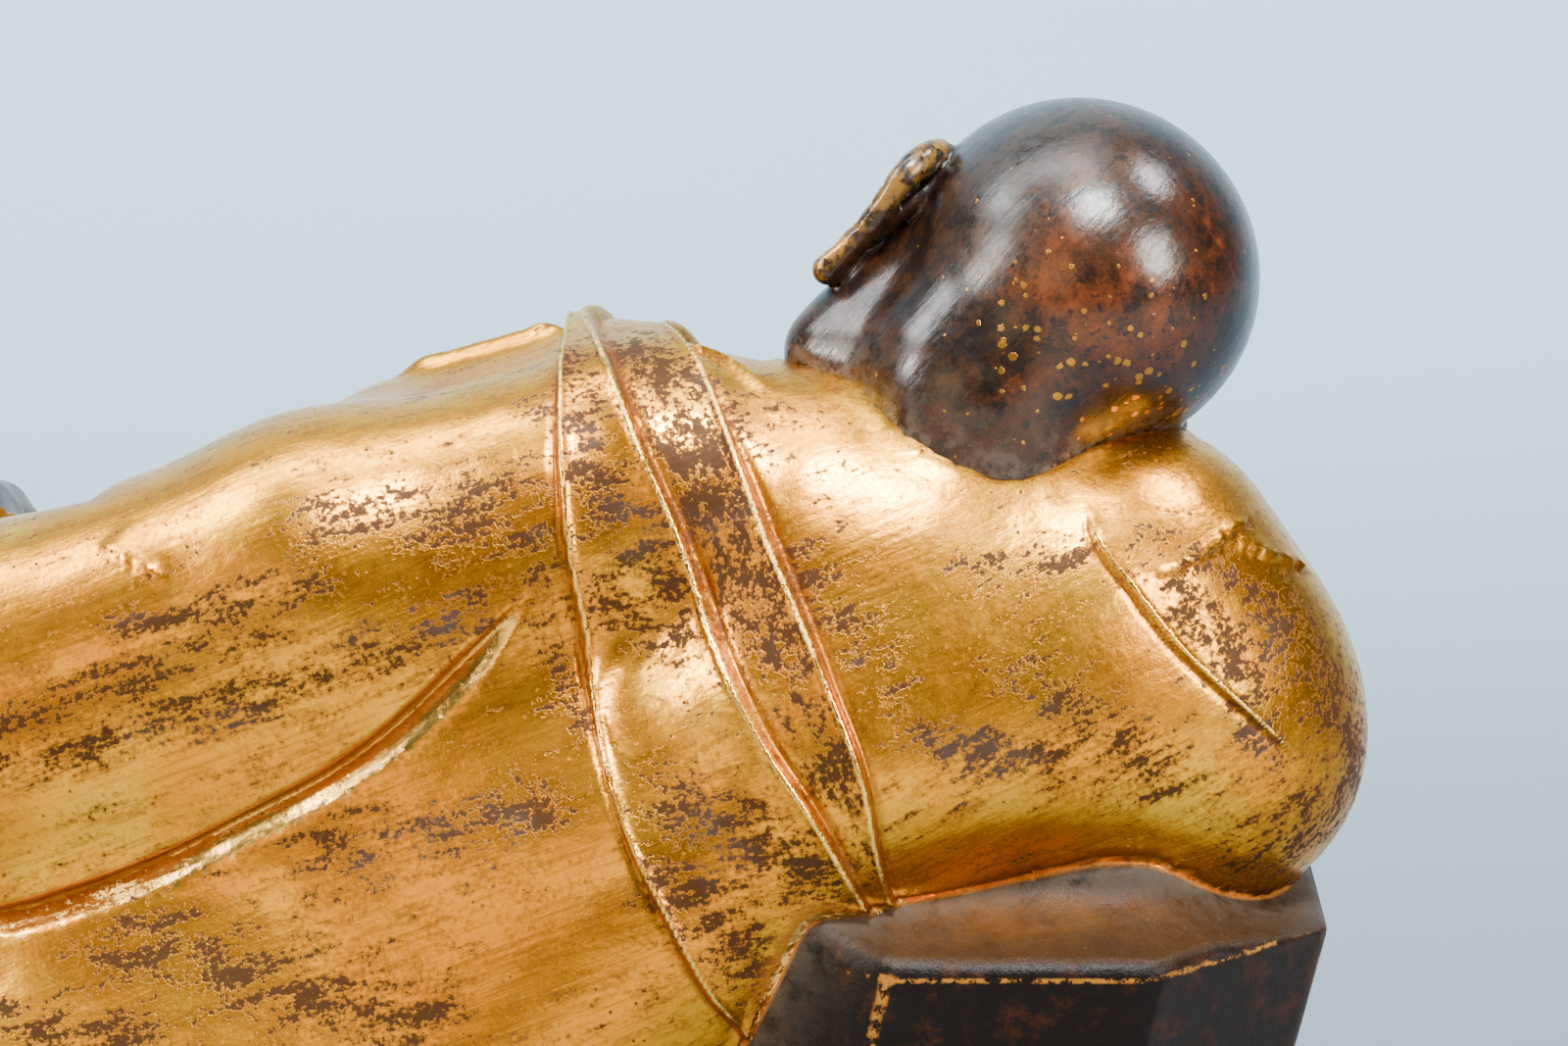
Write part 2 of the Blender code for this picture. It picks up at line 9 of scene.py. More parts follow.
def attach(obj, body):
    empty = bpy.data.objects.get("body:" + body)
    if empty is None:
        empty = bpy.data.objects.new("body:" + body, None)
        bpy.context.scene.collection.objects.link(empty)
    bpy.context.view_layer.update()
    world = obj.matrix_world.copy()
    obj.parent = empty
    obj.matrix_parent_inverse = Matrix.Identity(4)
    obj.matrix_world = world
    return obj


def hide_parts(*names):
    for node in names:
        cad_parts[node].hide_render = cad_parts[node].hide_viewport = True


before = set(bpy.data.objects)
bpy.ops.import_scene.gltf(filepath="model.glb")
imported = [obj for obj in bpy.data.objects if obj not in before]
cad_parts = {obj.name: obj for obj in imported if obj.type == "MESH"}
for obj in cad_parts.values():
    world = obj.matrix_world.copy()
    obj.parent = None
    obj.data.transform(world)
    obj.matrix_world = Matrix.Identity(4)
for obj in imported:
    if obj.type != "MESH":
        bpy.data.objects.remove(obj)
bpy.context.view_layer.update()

# The rock and the low base under it are the plainest part of the one bronze casting. The founder left
# them ungilded, so they have a near black patina, dusty where the robe meets them and rubbed along
# the edges. The rock's top curls up against the sleeper's robe, so the robe's form is worked out here.
HEAD_HEIGHT = 0.066
BASE_HEIGHT = 0.014
BASE_MARGIN = 0.006
FOOT_ROCK_HEIGHT = 0.022
EDGE_WEAR = 0.0012
ROCK_CURL = 0.0092
ROCK_TILT = 0.0021
ROCK_GRID = 0.0014
FLOOR_GAP = 0.002
FILL_CELL = 0.003
WORN_EDGE_WIDTH = 0.0008
GILT_REACH = 0.0016
DUST_REACH = 0.004

# The figure is set out in millimetres of a figure whose head is 66 mm high, and then scaled
LAYOUT_HEAD = 66.0
UNIT = HEAD_HEIGHT / LAYOUT_HEAD
FIGURE_REACH = np.array([118.0, 72.0]) * UNIT
FIGURE_PLACE = np.array([0.0, 12 * UNIT, BASE_HEIGHT - 14 * UNIT])


def at(x, y, z):
    """A place on the figure, from its layout millimetres."""
    return np.array([x, y, z]) * UNIT + FIGURE_PLACE


def unit(v):
    return np.asarray(v, float) / np.linalg.norm(v)


class Ball:
    """An ellipsoid with its half-sizes along three axes of its own."""

    def __init__(self, centre, radii, axes=None):
        self.centre = np.asarray(centre, float)
        self.radii = np.ones(3) * np.asarray(radii, float) * UNIT
        self.axes = np.eye(3) if axes is None else np.asarray(axes, float)

    def distance(self, points):
        local = (points - self.centre) @ self.axes.T
        k0 = np.linalg.norm(local / self.radii, axis=1)
        k1 = np.linalg.norm(local / self.radii**2, axis=1)
        return k0 * (k0 - 1) / np.maximum(k1, 1e-6)

    def bounds(self):
        half = np.abs(self.axes.T * self.radii).sum(axis=1)
        return self.centre - half, self.centre + half

    def seed(self, bm):
        matrix = Matrix.Translation(self.centre) @ Matrix(self.axes.T.tolist()).to_4x4()
        matrix = matrix @ Matrix.Diagonal((*self.radii, 1))
        bmesh.ops.create_uvsphere(bm, u_segments=24, v_segments=16, radius=1, matrix=matrix)


class Limb:
    """A taper with round ends between two places."""

    def __init__(self, start, end, radius, end_radius=None):
        self.start = np.asarray(start, float)
        self.end = np.asarray(end, float)
        self.radius = radius * UNIT
        self.end_radius = (radius if end_radius is None else end_radius) * UNIT

    def distance(self, points):
        along = self.end - self.start
        share = np.clip((points - self.start) @ along / (along @ along), 0, 1)
        nearest = self.start + share[:, None] * along
        radius = self.radius + share * (self.end_radius - self.radius)
        return np.linalg.norm(points - nearest, axis=1) - radius

    def bounds(self):
        half = max(self.radius, self.end_radius)
        return np.minimum(self.start, self.end) - half, np.maximum(self.start, self.end) + half

    def seed(self, bm):
        thin = min(self.radius, self.end_radius)
        count = int(np.linalg.norm(self.end - self.start) / (0.5 * thin)) + 2
        for share in np.linspace(0, 1, count):
            place = Vector(self.start + share * (self.end - self.start))
            radius = self.radius + share * (self.end_radius - self.radius)
            bmesh.ops.create_icosphere(
                bm, subdivisions=2, radius=radius, matrix=Matrix.Translation(place)
            )


def ramp(low, high, value):
    share = np.clip((value - low) / (high - low), 0, 1)
    return share * share * (3 - 2 * share)


def fuse(a, b, reach):
    """The union of two forms, filled in where they meet."""
    share = np.clip(0.5 + 0.5 * (b - a) / reach, 0, 1)
    return b + (a - b) * share - reach * share * (1 - share)


def carve(a, b, reach):
    """Form a with form b cut away, its edge rounded."""
    return -fuse(-a, b, reach)


def field(masses, points, reach):
    """The fused masses, each worked out only where it is near."""
    total = np.full(len(points), 0.05)
    margin = (reach + 8) * UNIT
    for mass in masses:
        low, high = mass.bounds()
        near = np.all((points > low - margin) & (points < high + margin), axis=1)
        if near.any():
            total[near] = fuse(total[near], mass.distance(points[near]), reach * UNIT)
    return total


class Block:
    """A block with flat sides that stand on a plan, and lean along X by a share of the height."""

    def __init__(self, plan, low, high, lean=0.0, draw_in=0.0):
        centre = np.mean(plan, axis=0)
        self.corners = []
        for x, y in plan:
            for height, share in ((low, 0), (high, 1)):
                inward = (centre - (x, y)) / np.linalg.norm(centre - (x, y)) * draw_in * share
                self.corners.append((x + inward[0] + lean * (high - height), y + inward[1], height))
        self.corners = np.array(self.corners)
        self.planes = [((0, 0, 1), high), ((0, 0, -1), -low)]
        count = len(plan)
        for i in range(count):
            a, b, c = (self.corners[k % (2 * count)] for k in (2 * i, 2 * i + 2, 2 * i + 1))
            out = unit(np.cross(b - a, c - a))
            self.planes.append((out, out @ a))

    def bounds(self):
        return self.corners.min(axis=0), self.corners.max(axis=0)

    def distance(self, points):
        total = np.full(len(points), -1.0)
        for out, offset in self.planes:
            total = carve(total, offset - points @ np.array(out, float), EDGE_WEAR)
        return total

    def seed(self, bm):
        verts = [bm.verts.new(corner) for corner in self.corners]
        bmesh.ops.convex_hull(bm, input=verts)


def on_plan(*places):
    return [tuple(at(x, y, 0)[:2]) for x, y in places]


def body_masses():
    """The broad masses of the robed trunk, shoulders and seat."""
    return [
        Ball(at(36, 8, 44), (46, 42, 36)),
        Limb(at(28, 10, 60), at(-38, 8, 126), 37, 32),
        Limb(at(-18, 0, 157.5), at(-50, 3, 147.5), 17, 22.5),
        Limb(at(-40, 4, 154.5), at(-74, 6, 141.5), 19, 23),
        Ball(at(-84.5, 2, 145), 21.2),
        Ball(at(-92.5, 4, 120.5), (24.6, 24, 23.5)),
        Ball(at(-64, 7, 127), (29, 25, 24)),
        Ball(at(16, 7, 110), (34, 26, 34)),
        Limb(at(6, 5, 140), at(84, 3, 108), 20, 19),
        Ball(at(54, 6, 66), (50, 36, 50)),
        Ball(at(20, 16, 30), (52, 38, 40)),
        Ball(at(34, -6, 15), (82, 66, 12)),
    ]


def sleeve_and_leg_masses():
    return [
        Limb(at(-14, 4, 158), at(30, 6, 145.8), 21, 23.2),
        Limb(at(30, 6, 145.8), at(76, 4, 128.2), 23.2, 24.2),
        Limb(at(20, -12, 158.5), at(-10, -10, 167), 12.5, 12),
        Limb(at(46, 8, 127), at(86, 4, 120), 20, 22),
        Limb(at(76, 4, 128), at(92, -38, 131), 22.5, 14),
        Limb(at(40, -4, 128), at(80, -30, 116), 15, 13),
        Limb(at(40, -10, 44), at(90, -46, 116), 30, 19),
        Limb(at(90, -48, 120), at(95, -54, 30), 18, 19),
        Limb(at(88, -30, 88), at(84, -34, 22), 20, 25),
        Limb(at(8, -6, 40), at(-32, -58, 36), 30, 21),
        Limb(at(-32, -58, 36), at(40, -68, 28), 20, 16),
        Limb(at(-92, 2, 128), at(-97, -44, 122), 23, 17),
    ]


def robe_masses():
    return body_masses() + sleeve_and_leg_masses()


def robe_form(points):
    body = field(body_masses(), points, 15)
    return fuse(body, field(sleeve_and_leg_masses(), points, 7), 9 * UNIT)


def rock_masses():
    half = FIGURE_REACH + BASE_MARGIN
    plan = []
    for turn, (cut_x, cut_y) in enumerate(((0.05, 0.16), (0.09, 0.2), (0.06, 0.14), (0.1, 0.22))):
        x, y = half * ((1, -1, -1, 1)[turn], (1, 1, -1, -1)[turn])
        ends = [(x, y * (1 - 2 * cut_y)), (x * (1 - 2 * cut_x), y)]
        plan += ends if turn % 2 == 0 else ends[::-1]
    top = on_plan(
        (-20, 27), (-48.4, 46), (-85.5, 46), (-111, 25), (-112, -12), (-106, -46), (-88, -64), (-62, -60),
        (-32, -38), (-14, -5),
    )
    foot = on_plan((-58, 40), (-92, 44), (-118, 20), (-120, -20), (-104, -56), (-70, -62), (-50, 0))
    return [
        Block(plan, 0.0, BASE_HEIGHT),
        Block(top, BASE_HEIGHT / 2, at(0, 0, 100.8)[2], lean=0.23),
        Block(foot, BASE_HEIGHT / 2, BASE_HEIGHT + FOOT_ROCK_HEIGHT, draw_in=0.008),
        Ball(at(-76, 0, 99), (34, 27, 10)),
    ]


def curl(points, robe):
    """How far the rock's top is raised: it tilts, and curls up to a peak against the robe above it."""
    peak = np.exp(-(((points[:, 0] - at(-81, 0, 0)[0]) / (14 * UNIT)) ** 2))
    lift = ROCK_CURL * ramp(at(-106, 0, 0)[0], at(-84, 0, 0)[0], points[:, 0]) * (0.5 + 0.5 * peak)
    lift = lift * np.exp(-np.maximum(robe, 0) / (5.5 * UNIT))
    lift = lift + ROCK_TILT * ramp(at(-112, 0, 0)[0], at(-86, 0, 0)[0], points[:, 0])
    return lift * ramp(at(0, 0, 66)[2], at(0, 0, 98)[2], points[:, 2])


def rock_form(points, robe):
    sunk = points - np.outer(curl(points, robe), (0, 0, 1))
    return field(rock_masses(), sunk, 1.5)


def seeded(name, masses):
    """One object that holds a plain round or flat body for each mass."""
    bm = bmesh.new()
    for mass in masses:
        mass.seed(bm)
    mesh = bpy.data.meshes.new(name)
    bm.to_mesh(mesh)
    bm.free()
    obj = bpy.data.objects.new(name, mesh)
    bpy.context.scene.collection.objects.link(obj)
    return obj


def inner_cells(form, low, high, size):
    """Small cubes that fill a form, so that no gap is left between the plain bodies."""
    grid = np.stack(np.meshgrid(*(np.arange(a, b, size) for a, b in zip(low, high))), axis=-1)
    centres = grid.reshape(-1, 3)
    centres = centres[form(centres) < -0.4 * size]
    corners = np.array([(x, y, z) for x in (-1, 1) for y in (-1, 1) for z in (-1, 1)]) * 0.5 * size
    sides = np.array([(0, 1, 3, 2), (4, 6, 7, 5), (0, 4, 5, 1), (2, 3, 7, 6), (0, 2, 6, 4), (1, 5, 7, 3)])
    starts = np.arange(len(centres)) * 8
    mesh = bpy.data.meshes.new("inner_cells")
    places = (centres[:, None] + corners).reshape(-1, 3)
    faces = (starts[:, None, None] + sides).reshape(-1, 4)
    mesh.from_pydata(places.tolist(), [], faces.tolist())
    return mesh


def slope(form, points, level, step=0.0001):
    return np.stack([(form(points + axis) - level) / step for axis in np.eye(3) * step], axis=1)


def draw_onto(form, points, rounds=3):
    """Points moved onto a form's surface, and the way out from it there."""
    for _ in range(rounds):
        level = form(points)
        out = slope(form, points, level)
        size = np.maximum((out**2).sum(axis=1), 0.2)
        points = points - np.clip(level / size, -0.004, 0.004)[:, None] * out
    return points, out / np.linalg.norm(out, axis=1)[:, None]


def near_paths(points, paths, reach):
    """Which points lie within reach of any of the paths."""
    close = np.zeros(len(points), bool)
    for path in paths:
        low, high = path.min(axis=0) - reach, path.max(axis=0) + reach
        inside = np.flatnonzero(np.all((points > low) & (points < high), axis=1) & ~close)
        for start, end in zip(path, path[1:]):
            if not len(inside):
                break
            way = end - start
            share = np.clip((points[inside] - start) @ way / (way @ way), 0, 1)
            gap = np.linalg.norm(points[inside] - start - share[:, None] * way, axis=1)
            close[inside[gap < reach]] = True
            inside = inside[gap >= reach]
    return close


def note(mesh, name, values):
    """A number kept at each vertex for the material to read."""
    attribute = mesh.attributes.new(name, "FLOAT", "POINT")
    attribute.data.foreach_set("value", np.asarray(values, np.float32))


def cast(name, form, masses, voxel, fine=(), carving=(), shape=None, cells=None):
    """A closed mesh of a form, finer near some paths, and carved. It keeps how sharp the ridges and
    hollows are at each vertex, and also gives each vertex's place and way out before the carving."""
    obj = seeded(name, masses)
    if cells:
        bm = bmesh.new()
        bm.from_mesh(obj.data)
        reach = FIGURE_REACH + BASE_MARGIN
        bm.from_mesh(inner_cells(form, (*-reach, 0), (*reach, at(0, 0, 214)[2]), cells))
        bm.to_mesh(obj.data)
        bm.free()
    remesh = obj.modifiers.new("fuse", "REMESH")
    remesh.mode = "VOXEL"
    remesh.voxel_size = voxel
    bpy.context.view_layer.update()
    mesh = bpy.data.meshes.new_from_object(obj.evaluated_get(bpy.context.evaluated_depsgraph_get()))
    obj.modifiers.clear()
    obj.data = mesh
    for paths, reach in fine:
        bm = bmesh.new()
        bm.from_mesh(mesh)
        bm.faces.ensure_lookup_table()
        centres = np.array([face.calc_center_median() for face in bm.faces])
        chosen = set()
        for index in np.flatnonzero(near_paths(centres, paths, reach)):
            chosen.update(bm.faces[index].edges)
        bmesh.ops.subdivide_edges(bm, edges=list(chosen), cuts=1, use_grid_fill=True)
        bm.to_mesh(mesh)
        bm.free()
    flat = np.empty(len(mesh.vertices) * 3)
    mesh.vertices.foreach_get("co", flat)
    points, out = draw_onto(form, flat.reshape(-1, 3))
    height = np.zeros(len(points))
    ridge = np.zeros(len(points))
    hollow = np.zeros(len(points))
    for line in carving:
        raised, sharp, deep = line.relief(points, out)
        height += raised
        ridge = np.maximum(ridge, sharp)
        hollow = np.maximum(hollow, deep)
    if shape:
        height += shape(points, out)
    moved = points + out * height[:, None]
    mesh.vertices.foreach_set("co", moved.ravel())
    mesh.update()
    mesh.shade_smooth()
    note(mesh, "ridge", ridge)
    note(mesh, "hollow", hollow)
    return obj, points, out


def patch(points, patches):
    """How far each point lies inside any of the patches, each a start, an end and a half-width."""
    total = np.zeros(len(points))
    for start, end, width in patches:
        gap = Limb(at(*start), at(*end), 0.001).distance(points)
        total = np.maximum(total, np.exp(-((np.maximum(gap, 0) / (width * UNIT)) ** 2)))
    return total


class Wire:
    """A shader value that arithmetic builds on."""

    def __init__(self, tree, socket):
        self.tree = tree
        self.socket = socket

    def node(self, kind, settings, inputs):
        """Any other node: its type, its settings, then its inputs by name or place."""
        return shader_node(self.tree, kind, settings, inputs)

    def maths(self, operation, *values):
        return self.node("ShaderNodeMath", {"operation": operation}, dict(enumerate(values)))

    def __add__(self, other):
        return self.maths("ADD", self, other)

    def __radd__(self, other):
        return self.maths("ADD", other, self)

    def __sub__(self, other):
        return self.maths("SUBTRACT", self, other)

    def __rsub__(self, other):
        return self.maths("SUBTRACT", other, self)

    def __mul__(self, other):
        return self.maths("MULTIPLY", self, other)

    def __rmul__(self, other):
        return self.maths("MULTIPLY", other, self)

    def most(self, other):
        return self.maths("MAXIMUM", self, other)

    def ramp(self, low, high):
        """A soft step from 0 at low to 1 at high."""
        limits = {"Value": self, "From Min": low, "From Max": high}
        return self.node("ShaderNodeMapRange", {"interpolation_type": "SMOOTHSTEP"}, limits)


def shader_node(tree, kind, settings, inputs, output=0):
    node = tree.nodes.new(kind)
    for key, value in settings.items():
        setattr(node, key, value)
    for key, value in inputs.items():
        if isinstance(value, Wire):
            tree.links.new(value.socket, node.inputs[key])
        else:
            node.inputs[key].default_value = value
    return Wire(tree, node.outputs[output])


class Finish:
    """A material being built: its node tree, coordinates and kept numbers."""

    def __init__(self, name):
        self.material = bpy.data.materials.new(name)
        self.material.use_nodes = True
        self.tree = self.material.node_tree
        self.shader = self.tree.nodes["Principled BSDF"]
        self.place = self.make("ShaderNodeTexCoord", {}, {}, "Object")

    def make(self, kind, settings, inputs, output=0):
        return shader_node(self.tree, kind, settings, inputs, output)

    def kept(self, name):
        return self.make("ShaderNodeAttribute", {"attribute_name": name}, {}, "Fac")

    def turned(self, degrees, stretch):
        """The object's coordinates turned about the axes and squeezed, so that noise draws out."""
        turn = [math.radians(angle) for angle in degrees]
        inputs = {0: self.place, 2: turn, 3: stretch}
        return self.make("ShaderNodeMapping", {"vector_type": "TEXTURE"}, inputs)

    def noise(self, scale, detail=4.0, rough=0.55, at=None, offset=None):
        where = self.place if at is None else at
        if offset:
            where = self.make("ShaderNodeVectorMath", {"operation": "ADD"}, {0: where, 1: offset})
        inputs = {"Vector": where, "Scale": scale, "Detail": detail, "Roughness": rough}
        return self.make("ShaderNodeTexNoise", {}, inputs)

    def mix(self, share, low, high):
        """A colour between two."""
        low = (*low, 1) if isinstance(low, tuple) else low
        high = (*high, 1) if isinstance(high, tuple) else high
        return self.make("ShaderNodeMix", {"data_type": "RGBA"}, {0: share, 6: low, 7: high}, 2)

    def bump(self, height, distance, strength=1.0, normal=None):
        inputs = {"Height": height, "Distance": distance, "Strength": strength}
        if normal:
            inputs["Normal"] = normal
        return self.make("ShaderNodeBump", {}, inputs)

    def set(self, **inputs):
        for key, value in inputs.items():
            socket = self.shader.inputs[key.replace("_", " ")]
            if isinstance(value, Wire):
                self.tree.links.new(value.socket, socket)
            else:
                socket.default_value = value

    def dress(self, obj):
        obj.data.materials.append(self.material)


rock, places, out = cast(
    "dark_rock", lambda points: rock_form(points, robe_form(points)), rock_masses(), ROCK_GRID,
    cells=FILL_CELL,
)
to_robe = np.maximum(robe_form(places), 0)
note(rock.data, "by_robe", np.exp(-to_robe / GILT_REACH))
note(rock.data, "dust_by_robe", np.exp(-to_robe / DUST_REACH))
worn_edge = np.zeros(len(places))
for block in rock_masses()[:3]:
    depths = [np.abs(offset - places @ np.array(way, float)) for way, offset in block.planes]
    depths = np.sort(depths, axis=0)
    inside = block.distance(places) < EDGE_WEAR
    worn_edge = np.maximum(worn_edge, inside * np.exp(-((depths[1] / WORN_EDGE_WIDTH) ** 2)))
note(rock.data, "worn_edge", worn_edge)
note(rock.data, "upward", np.maximum(out[:, 2], 0))
note(rock.data, "rubbed_top", patch(places, [((-58, 30, 103), (-78, 28, 103), 9)]))
note(rock.data, "matt_side", np.maximum(-out[:, 0], 0))

stone = Finish("dark_rock_patina")
mottle = stone.noise(170, 5, 0.75)
speckle = stone.noise(800, 4, 0.75)
tone = stone.mix(mottle.ramp(0.50, 0.66), (0.004, 0.0025, 0.002), (0.024, 0.007, 0.0025))
matt = stone.kept("matt_side").ramp(0.5, 0.9)
tone = stone.mix(matt, tone, stone.mix(speckle, (0.018, 0.014, 0.013), (0.044, 0.036, 0.032)))
top = stone.kept("upward").ramp(0.4, 0.9)
rubbed = stone.kept("rubbed_top") * stone.noise(90, 4, 0.7).ramp(0.25, 0.7)
smooth_top = stone.mix(rubbed, (0.022, 0.011, 0.005), (0.12, 0.042, 0.006))
dark_top = stone.mix(mottle.ramp(0.5, 0.75) * 0.5, smooth_top, (0.010, 0.005, 0.003))
tone = stone.mix(top * 0.95, tone, dark_top)
tone = stone.mix(top * speckle.ramp(0.60, 0.70) * 0.35, tone, (0.11, 0.068, 0.035))
dust = stone.kept("dust_by_robe") * stone.noise(260, 4, 0.7).ramp(0.25, 0.6)
tone = stone.mix(dust * 0.6, tone, (0.11, 0.085, 0.06))
edge = stone.kept("worn_edge").ramp(0.6, 0.98) * (mottle * 0.45 + speckle * 0.65).ramp(0.52, 0.60)
gilt = edge.most(stone.kept("by_robe").ramp(0.55, 0.8) * speckle.ramp(0.3, 0.5))
tone = stone.mix(gilt * 0.9, tone, (0.62, 0.25, 0.035))
stone.set(
    Base_Color=tone, Metallic=gilt * 0.9, Specular_IOR_Level=0.12,
    Roughness=0.36 + dust * 0.4 + matt * 0.3 + (mottle - 0.5) * 0.3,
    Normal=stone.bump(speckle + mottle * 2, 0.0003, 0.5),
)
stone.dress(rock)
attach(rock, "root")
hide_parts("sleeping_arhat")

# The shaven head is cast with the rest and was never gilded. Its bronze has a dark brown, lacquer-like
# patina with a reddish cloud at the back, grains of stray gold, and gold left on the rims of the ears.
HEAD_GRID = 0.0009
HEAD_LEFT = unit((0.669, 0.0, 0.743))
HEAD_FRONT = unit((0.192, -0.966, -0.173))
HEAD_UP = unit(np.cross(HEAD_FRONT, HEAD_LEFT))
HEAD_AXES = np.array([HEAD_LEFT, HEAD_FRONT, HEAD_UP])
SKULL = at(-76.3, -8, 187.2)


def on_head(left, front, up):
    return SKULL + np.array([left, front, up]) @ HEAD_AXES * UNIT


def smooth_path(places, count=10):
    """A curve through the places, cut into short straight lengths."""
    ends = [2 * places[0] - places[1], *places, 2 * places[-1] - places[-2]]
    path = []
    for a, b, c, d in zip(ends, ends[1:], ends[2:], ends[3:]):
        for t in np.arange(count)[:, None] / count:
            path.append(0.5 * (2 * b + (c - a) * t + (2 * a - 5 * b + 4 * c - d) * t**2
                               + (3 * b - a - 3 * c + d) * t**3).ravel())
    return np.array(path + [places[-1]])


def head_masses():
    masses = [
        Ball(on_head(0, -1, 0), (25.4, 28.5, 25), HEAD_AXES),
        Ball(on_head(0, 7.5, -16), (19.5, 18, 22), HEAD_AXES),
        Ball(on_head(0, 11, -31), (14.5, 12.5, 9.5), HEAD_AXES),
        Ball(on_head(0, 19.5, -36), (6, 5.5, 5), HEAD_AXES),
        Limb(on_head(0, -6, -22), at(-61, 2, 150), 17.5, 18.5),
    ]
    for side in (-1, 1):
        masses.append(Ball(on_head(side * 10.5, 16, -19.5), (8.5, 8, 9), HEAD_AXES))
        masses.append(Ball(on_head(side * 11.5, 3, -30), (8.5, 10, 9), HEAD_AXES))
        masses.append(Limb(on_head(side * 17.5, 3, -16), on_head(side * 16.5, 4, -33), 5.5, 6))
    return masses


def feature_masses():
    masses = [
        Limb(on_head(0, 22.5, -5), on_head(0, 27.5, -18), 2.3, 3.3),
        Limb(on_head(-5, 23, -26.6), on_head(0, 25.5, -25.8), 1.2, 1.7),
        Limb(on_head(5, 23, -26.6), on_head(0, 25.5, -25.8), 1.2, 1.7),
        Limb(on_head(-3.2, 23.4, -29.2), on_head(3.2, 23.4, -29.2), 1.8, 1.8),
    ]
    for side in (-1, 1):
        masses.append(Ball(on_head(side * 3.6, 24.5, -19), (2.2, 2.8, 1.9), HEAD_AXES))
        masses.append(Ball(on_head(side * 9.2, 20, -8.8), (5.6, 4.2, 3.9), HEAD_AXES))
        masses.append(Limb(on_head(side * 3.5, 23.8, -3.6), on_head(side * 10, 22.6, -1.6), 1.8, 1.8))
        masses.append(Limb(on_head(side * 10, 22.6, -1.6), on_head(side * 17, 17.2, -4.2), 1.8, 1.4))
    return masses


def ear_masses():
    """Long-lobed ears: a thin curled rim that stands off a dished plate, the right one pressed flat."""
    masses = []
    for side, flat in ((-1, 4), (1, 0)):
        rim = [
            (22, 6, -9), (24.5, 4.5, -4), (26.6, 0, -3), (28.2, -4, -6.5), (28.2, -5, -11), (27, -3.5, -16),
            (26, -1, -21),
        ]
        rim = smooth_path([on_head(side * (out - flat), front, up) for out, front, up in rim], 3)
        for step, (start, end) in enumerate(zip(rim, rim[1:])):
            masses.append(Limb(start, end, 1 + 0.5 * math.exp(-(((step - 8) / 4) ** 2))))
        masses.append(Limb(rim[-1], on_head(side * (25.6 - flat), 0, -26), 1.4, 2.2))
        lobe = on_head(side * (23.4 - flat), 2, -24.5)
        masses.append(Limb(on_head(side * (22.8 - flat), 3, -11), lobe, 2.4, 2))
        masses.append(Ball(on_head(side * (24.6 - flat), 0.5, -11), (1.6, 5, 8), HEAD_AXES))
    return masses


def head_form(points):
    head = field(head_masses(), points, 6)
    head = fuse(head, field(feature_masses(), points, 1.5), 2.5 * UNIT)
    return fuse(head, field(ear_masses(), points, 2), 1.5 * UNIT)


bare_masses = head_masses() + feature_masses() + ear_masses()
head, places, _ = cast("dark_head", head_form, bare_masses, HEAD_GRID)
note(head.data, "red_cloud", patch(places, [((-72, 18, 192), (-80, 18, 186), 11)]))
note(head.data, "gold_dust", patch(places, [((-72, 17, 184), (-90, 15, 172), 11)]))
# Where a painted grey sheen goes on the upper left of the skull.
note(head.data, "painted_grey_sheen", patch(places, [((-60, 14, 205), (-68, 6, 210), 14)]))
note(head.data, "nape_dust", np.exp(-np.maximum(robe_form(places), 0) / DUST_REACH))
ear_rim = np.min([mass.distance(places) for mass in ear_masses() if isinstance(mass, Limb)], axis=0)
outer_side = ramp(25.5, 28, np.abs((places - SKULL) @ HEAD_LEFT) / UNIT)
note(head.data, "ear_edge", np.exp(-((ear_rim / 0.0006) ** 2)) * outer_side)

patina = Finish("dark_patina")
cloud = patina.kept("red_cloud")
speckle = patina.noise(560, 4, 0.75)
mottle = patina.noise(120, 5, 0.75)
tone = patina.mix(mottle.ramp(0.40, 0.60), (0.006, 0.003, 0.002), (0.030, 0.009, 0.003))
red = cloud * 0.20 + patina.noise(95, 5, 0.75, offset=(2, 2, 0)) * 0.75 + (speckle - 0.5) * 0.4
tone = patina.mix(red.ramp(0.42, 0.66) * 0.9, tone, (0.125, 0.027, 0.003))
# A dull grey cast at the upper left of the skull is a painted sheen for the backdrop's reflection there; it
# also roughens the surface.
grey_sheen_here = patina.kept("painted_grey_sheen") * mottle.ramp(0.30, 0.60)
tone = patina.mix(grey_sheen_here * 0.6, tone, (0.020, 0.018, 0.012))
black = speckle * 0.6 + patina.noise(170, 4, 0.7, offset=(4, 0, 6)) * 0.4
tone = patina.mix(black.ramp(0.52, 0.57) * 0.92, tone, (0.006, 0.0035, 0.003))
cells = {"Vector": patina.place, "Scale": 640.0}
chance = patina.make("ShaderNodeTexVoronoi", {}, cells, "Color")
chance = patina.make("ShaderNodeSeparateXYZ", {}, {0: chance}, 0)
spread = patina.make("ShaderNodeTexVoronoi", {}, cells, "Distance") + (speckle - 0.5) * 0.9
grain = ((chance + patina.kept("gold_dust") * 0.55 - 0.80) * 0.68 - spread).ramp(-0.02, 0.03)
tone = patina.mix(grain, tone, patina.mix(mottle, (0.34, 0.13, 0.012), (0.58, 0.28, 0.03)))
nape = patina.kept("nape_dust") * patina.noise(260, 4, 0.7).ramp(0.42, 0.62)
tone = patina.mix(nape * 0.5, tone, (0.11, 0.095, 0.07))
ear_gold = patina.kept("ear_edge") * patina.noise(420, 4, 0.65, offset=(1, 1, 1)).ramp(0.42, 0.56)
tone = patina.mix(ear_gold * 0.9, tone, (0.66, 0.33, 0.05))
hair = patina.noise(1300, 2, 0.5, patina.turned((20, 50, 0), (18, 1.5, 1)))
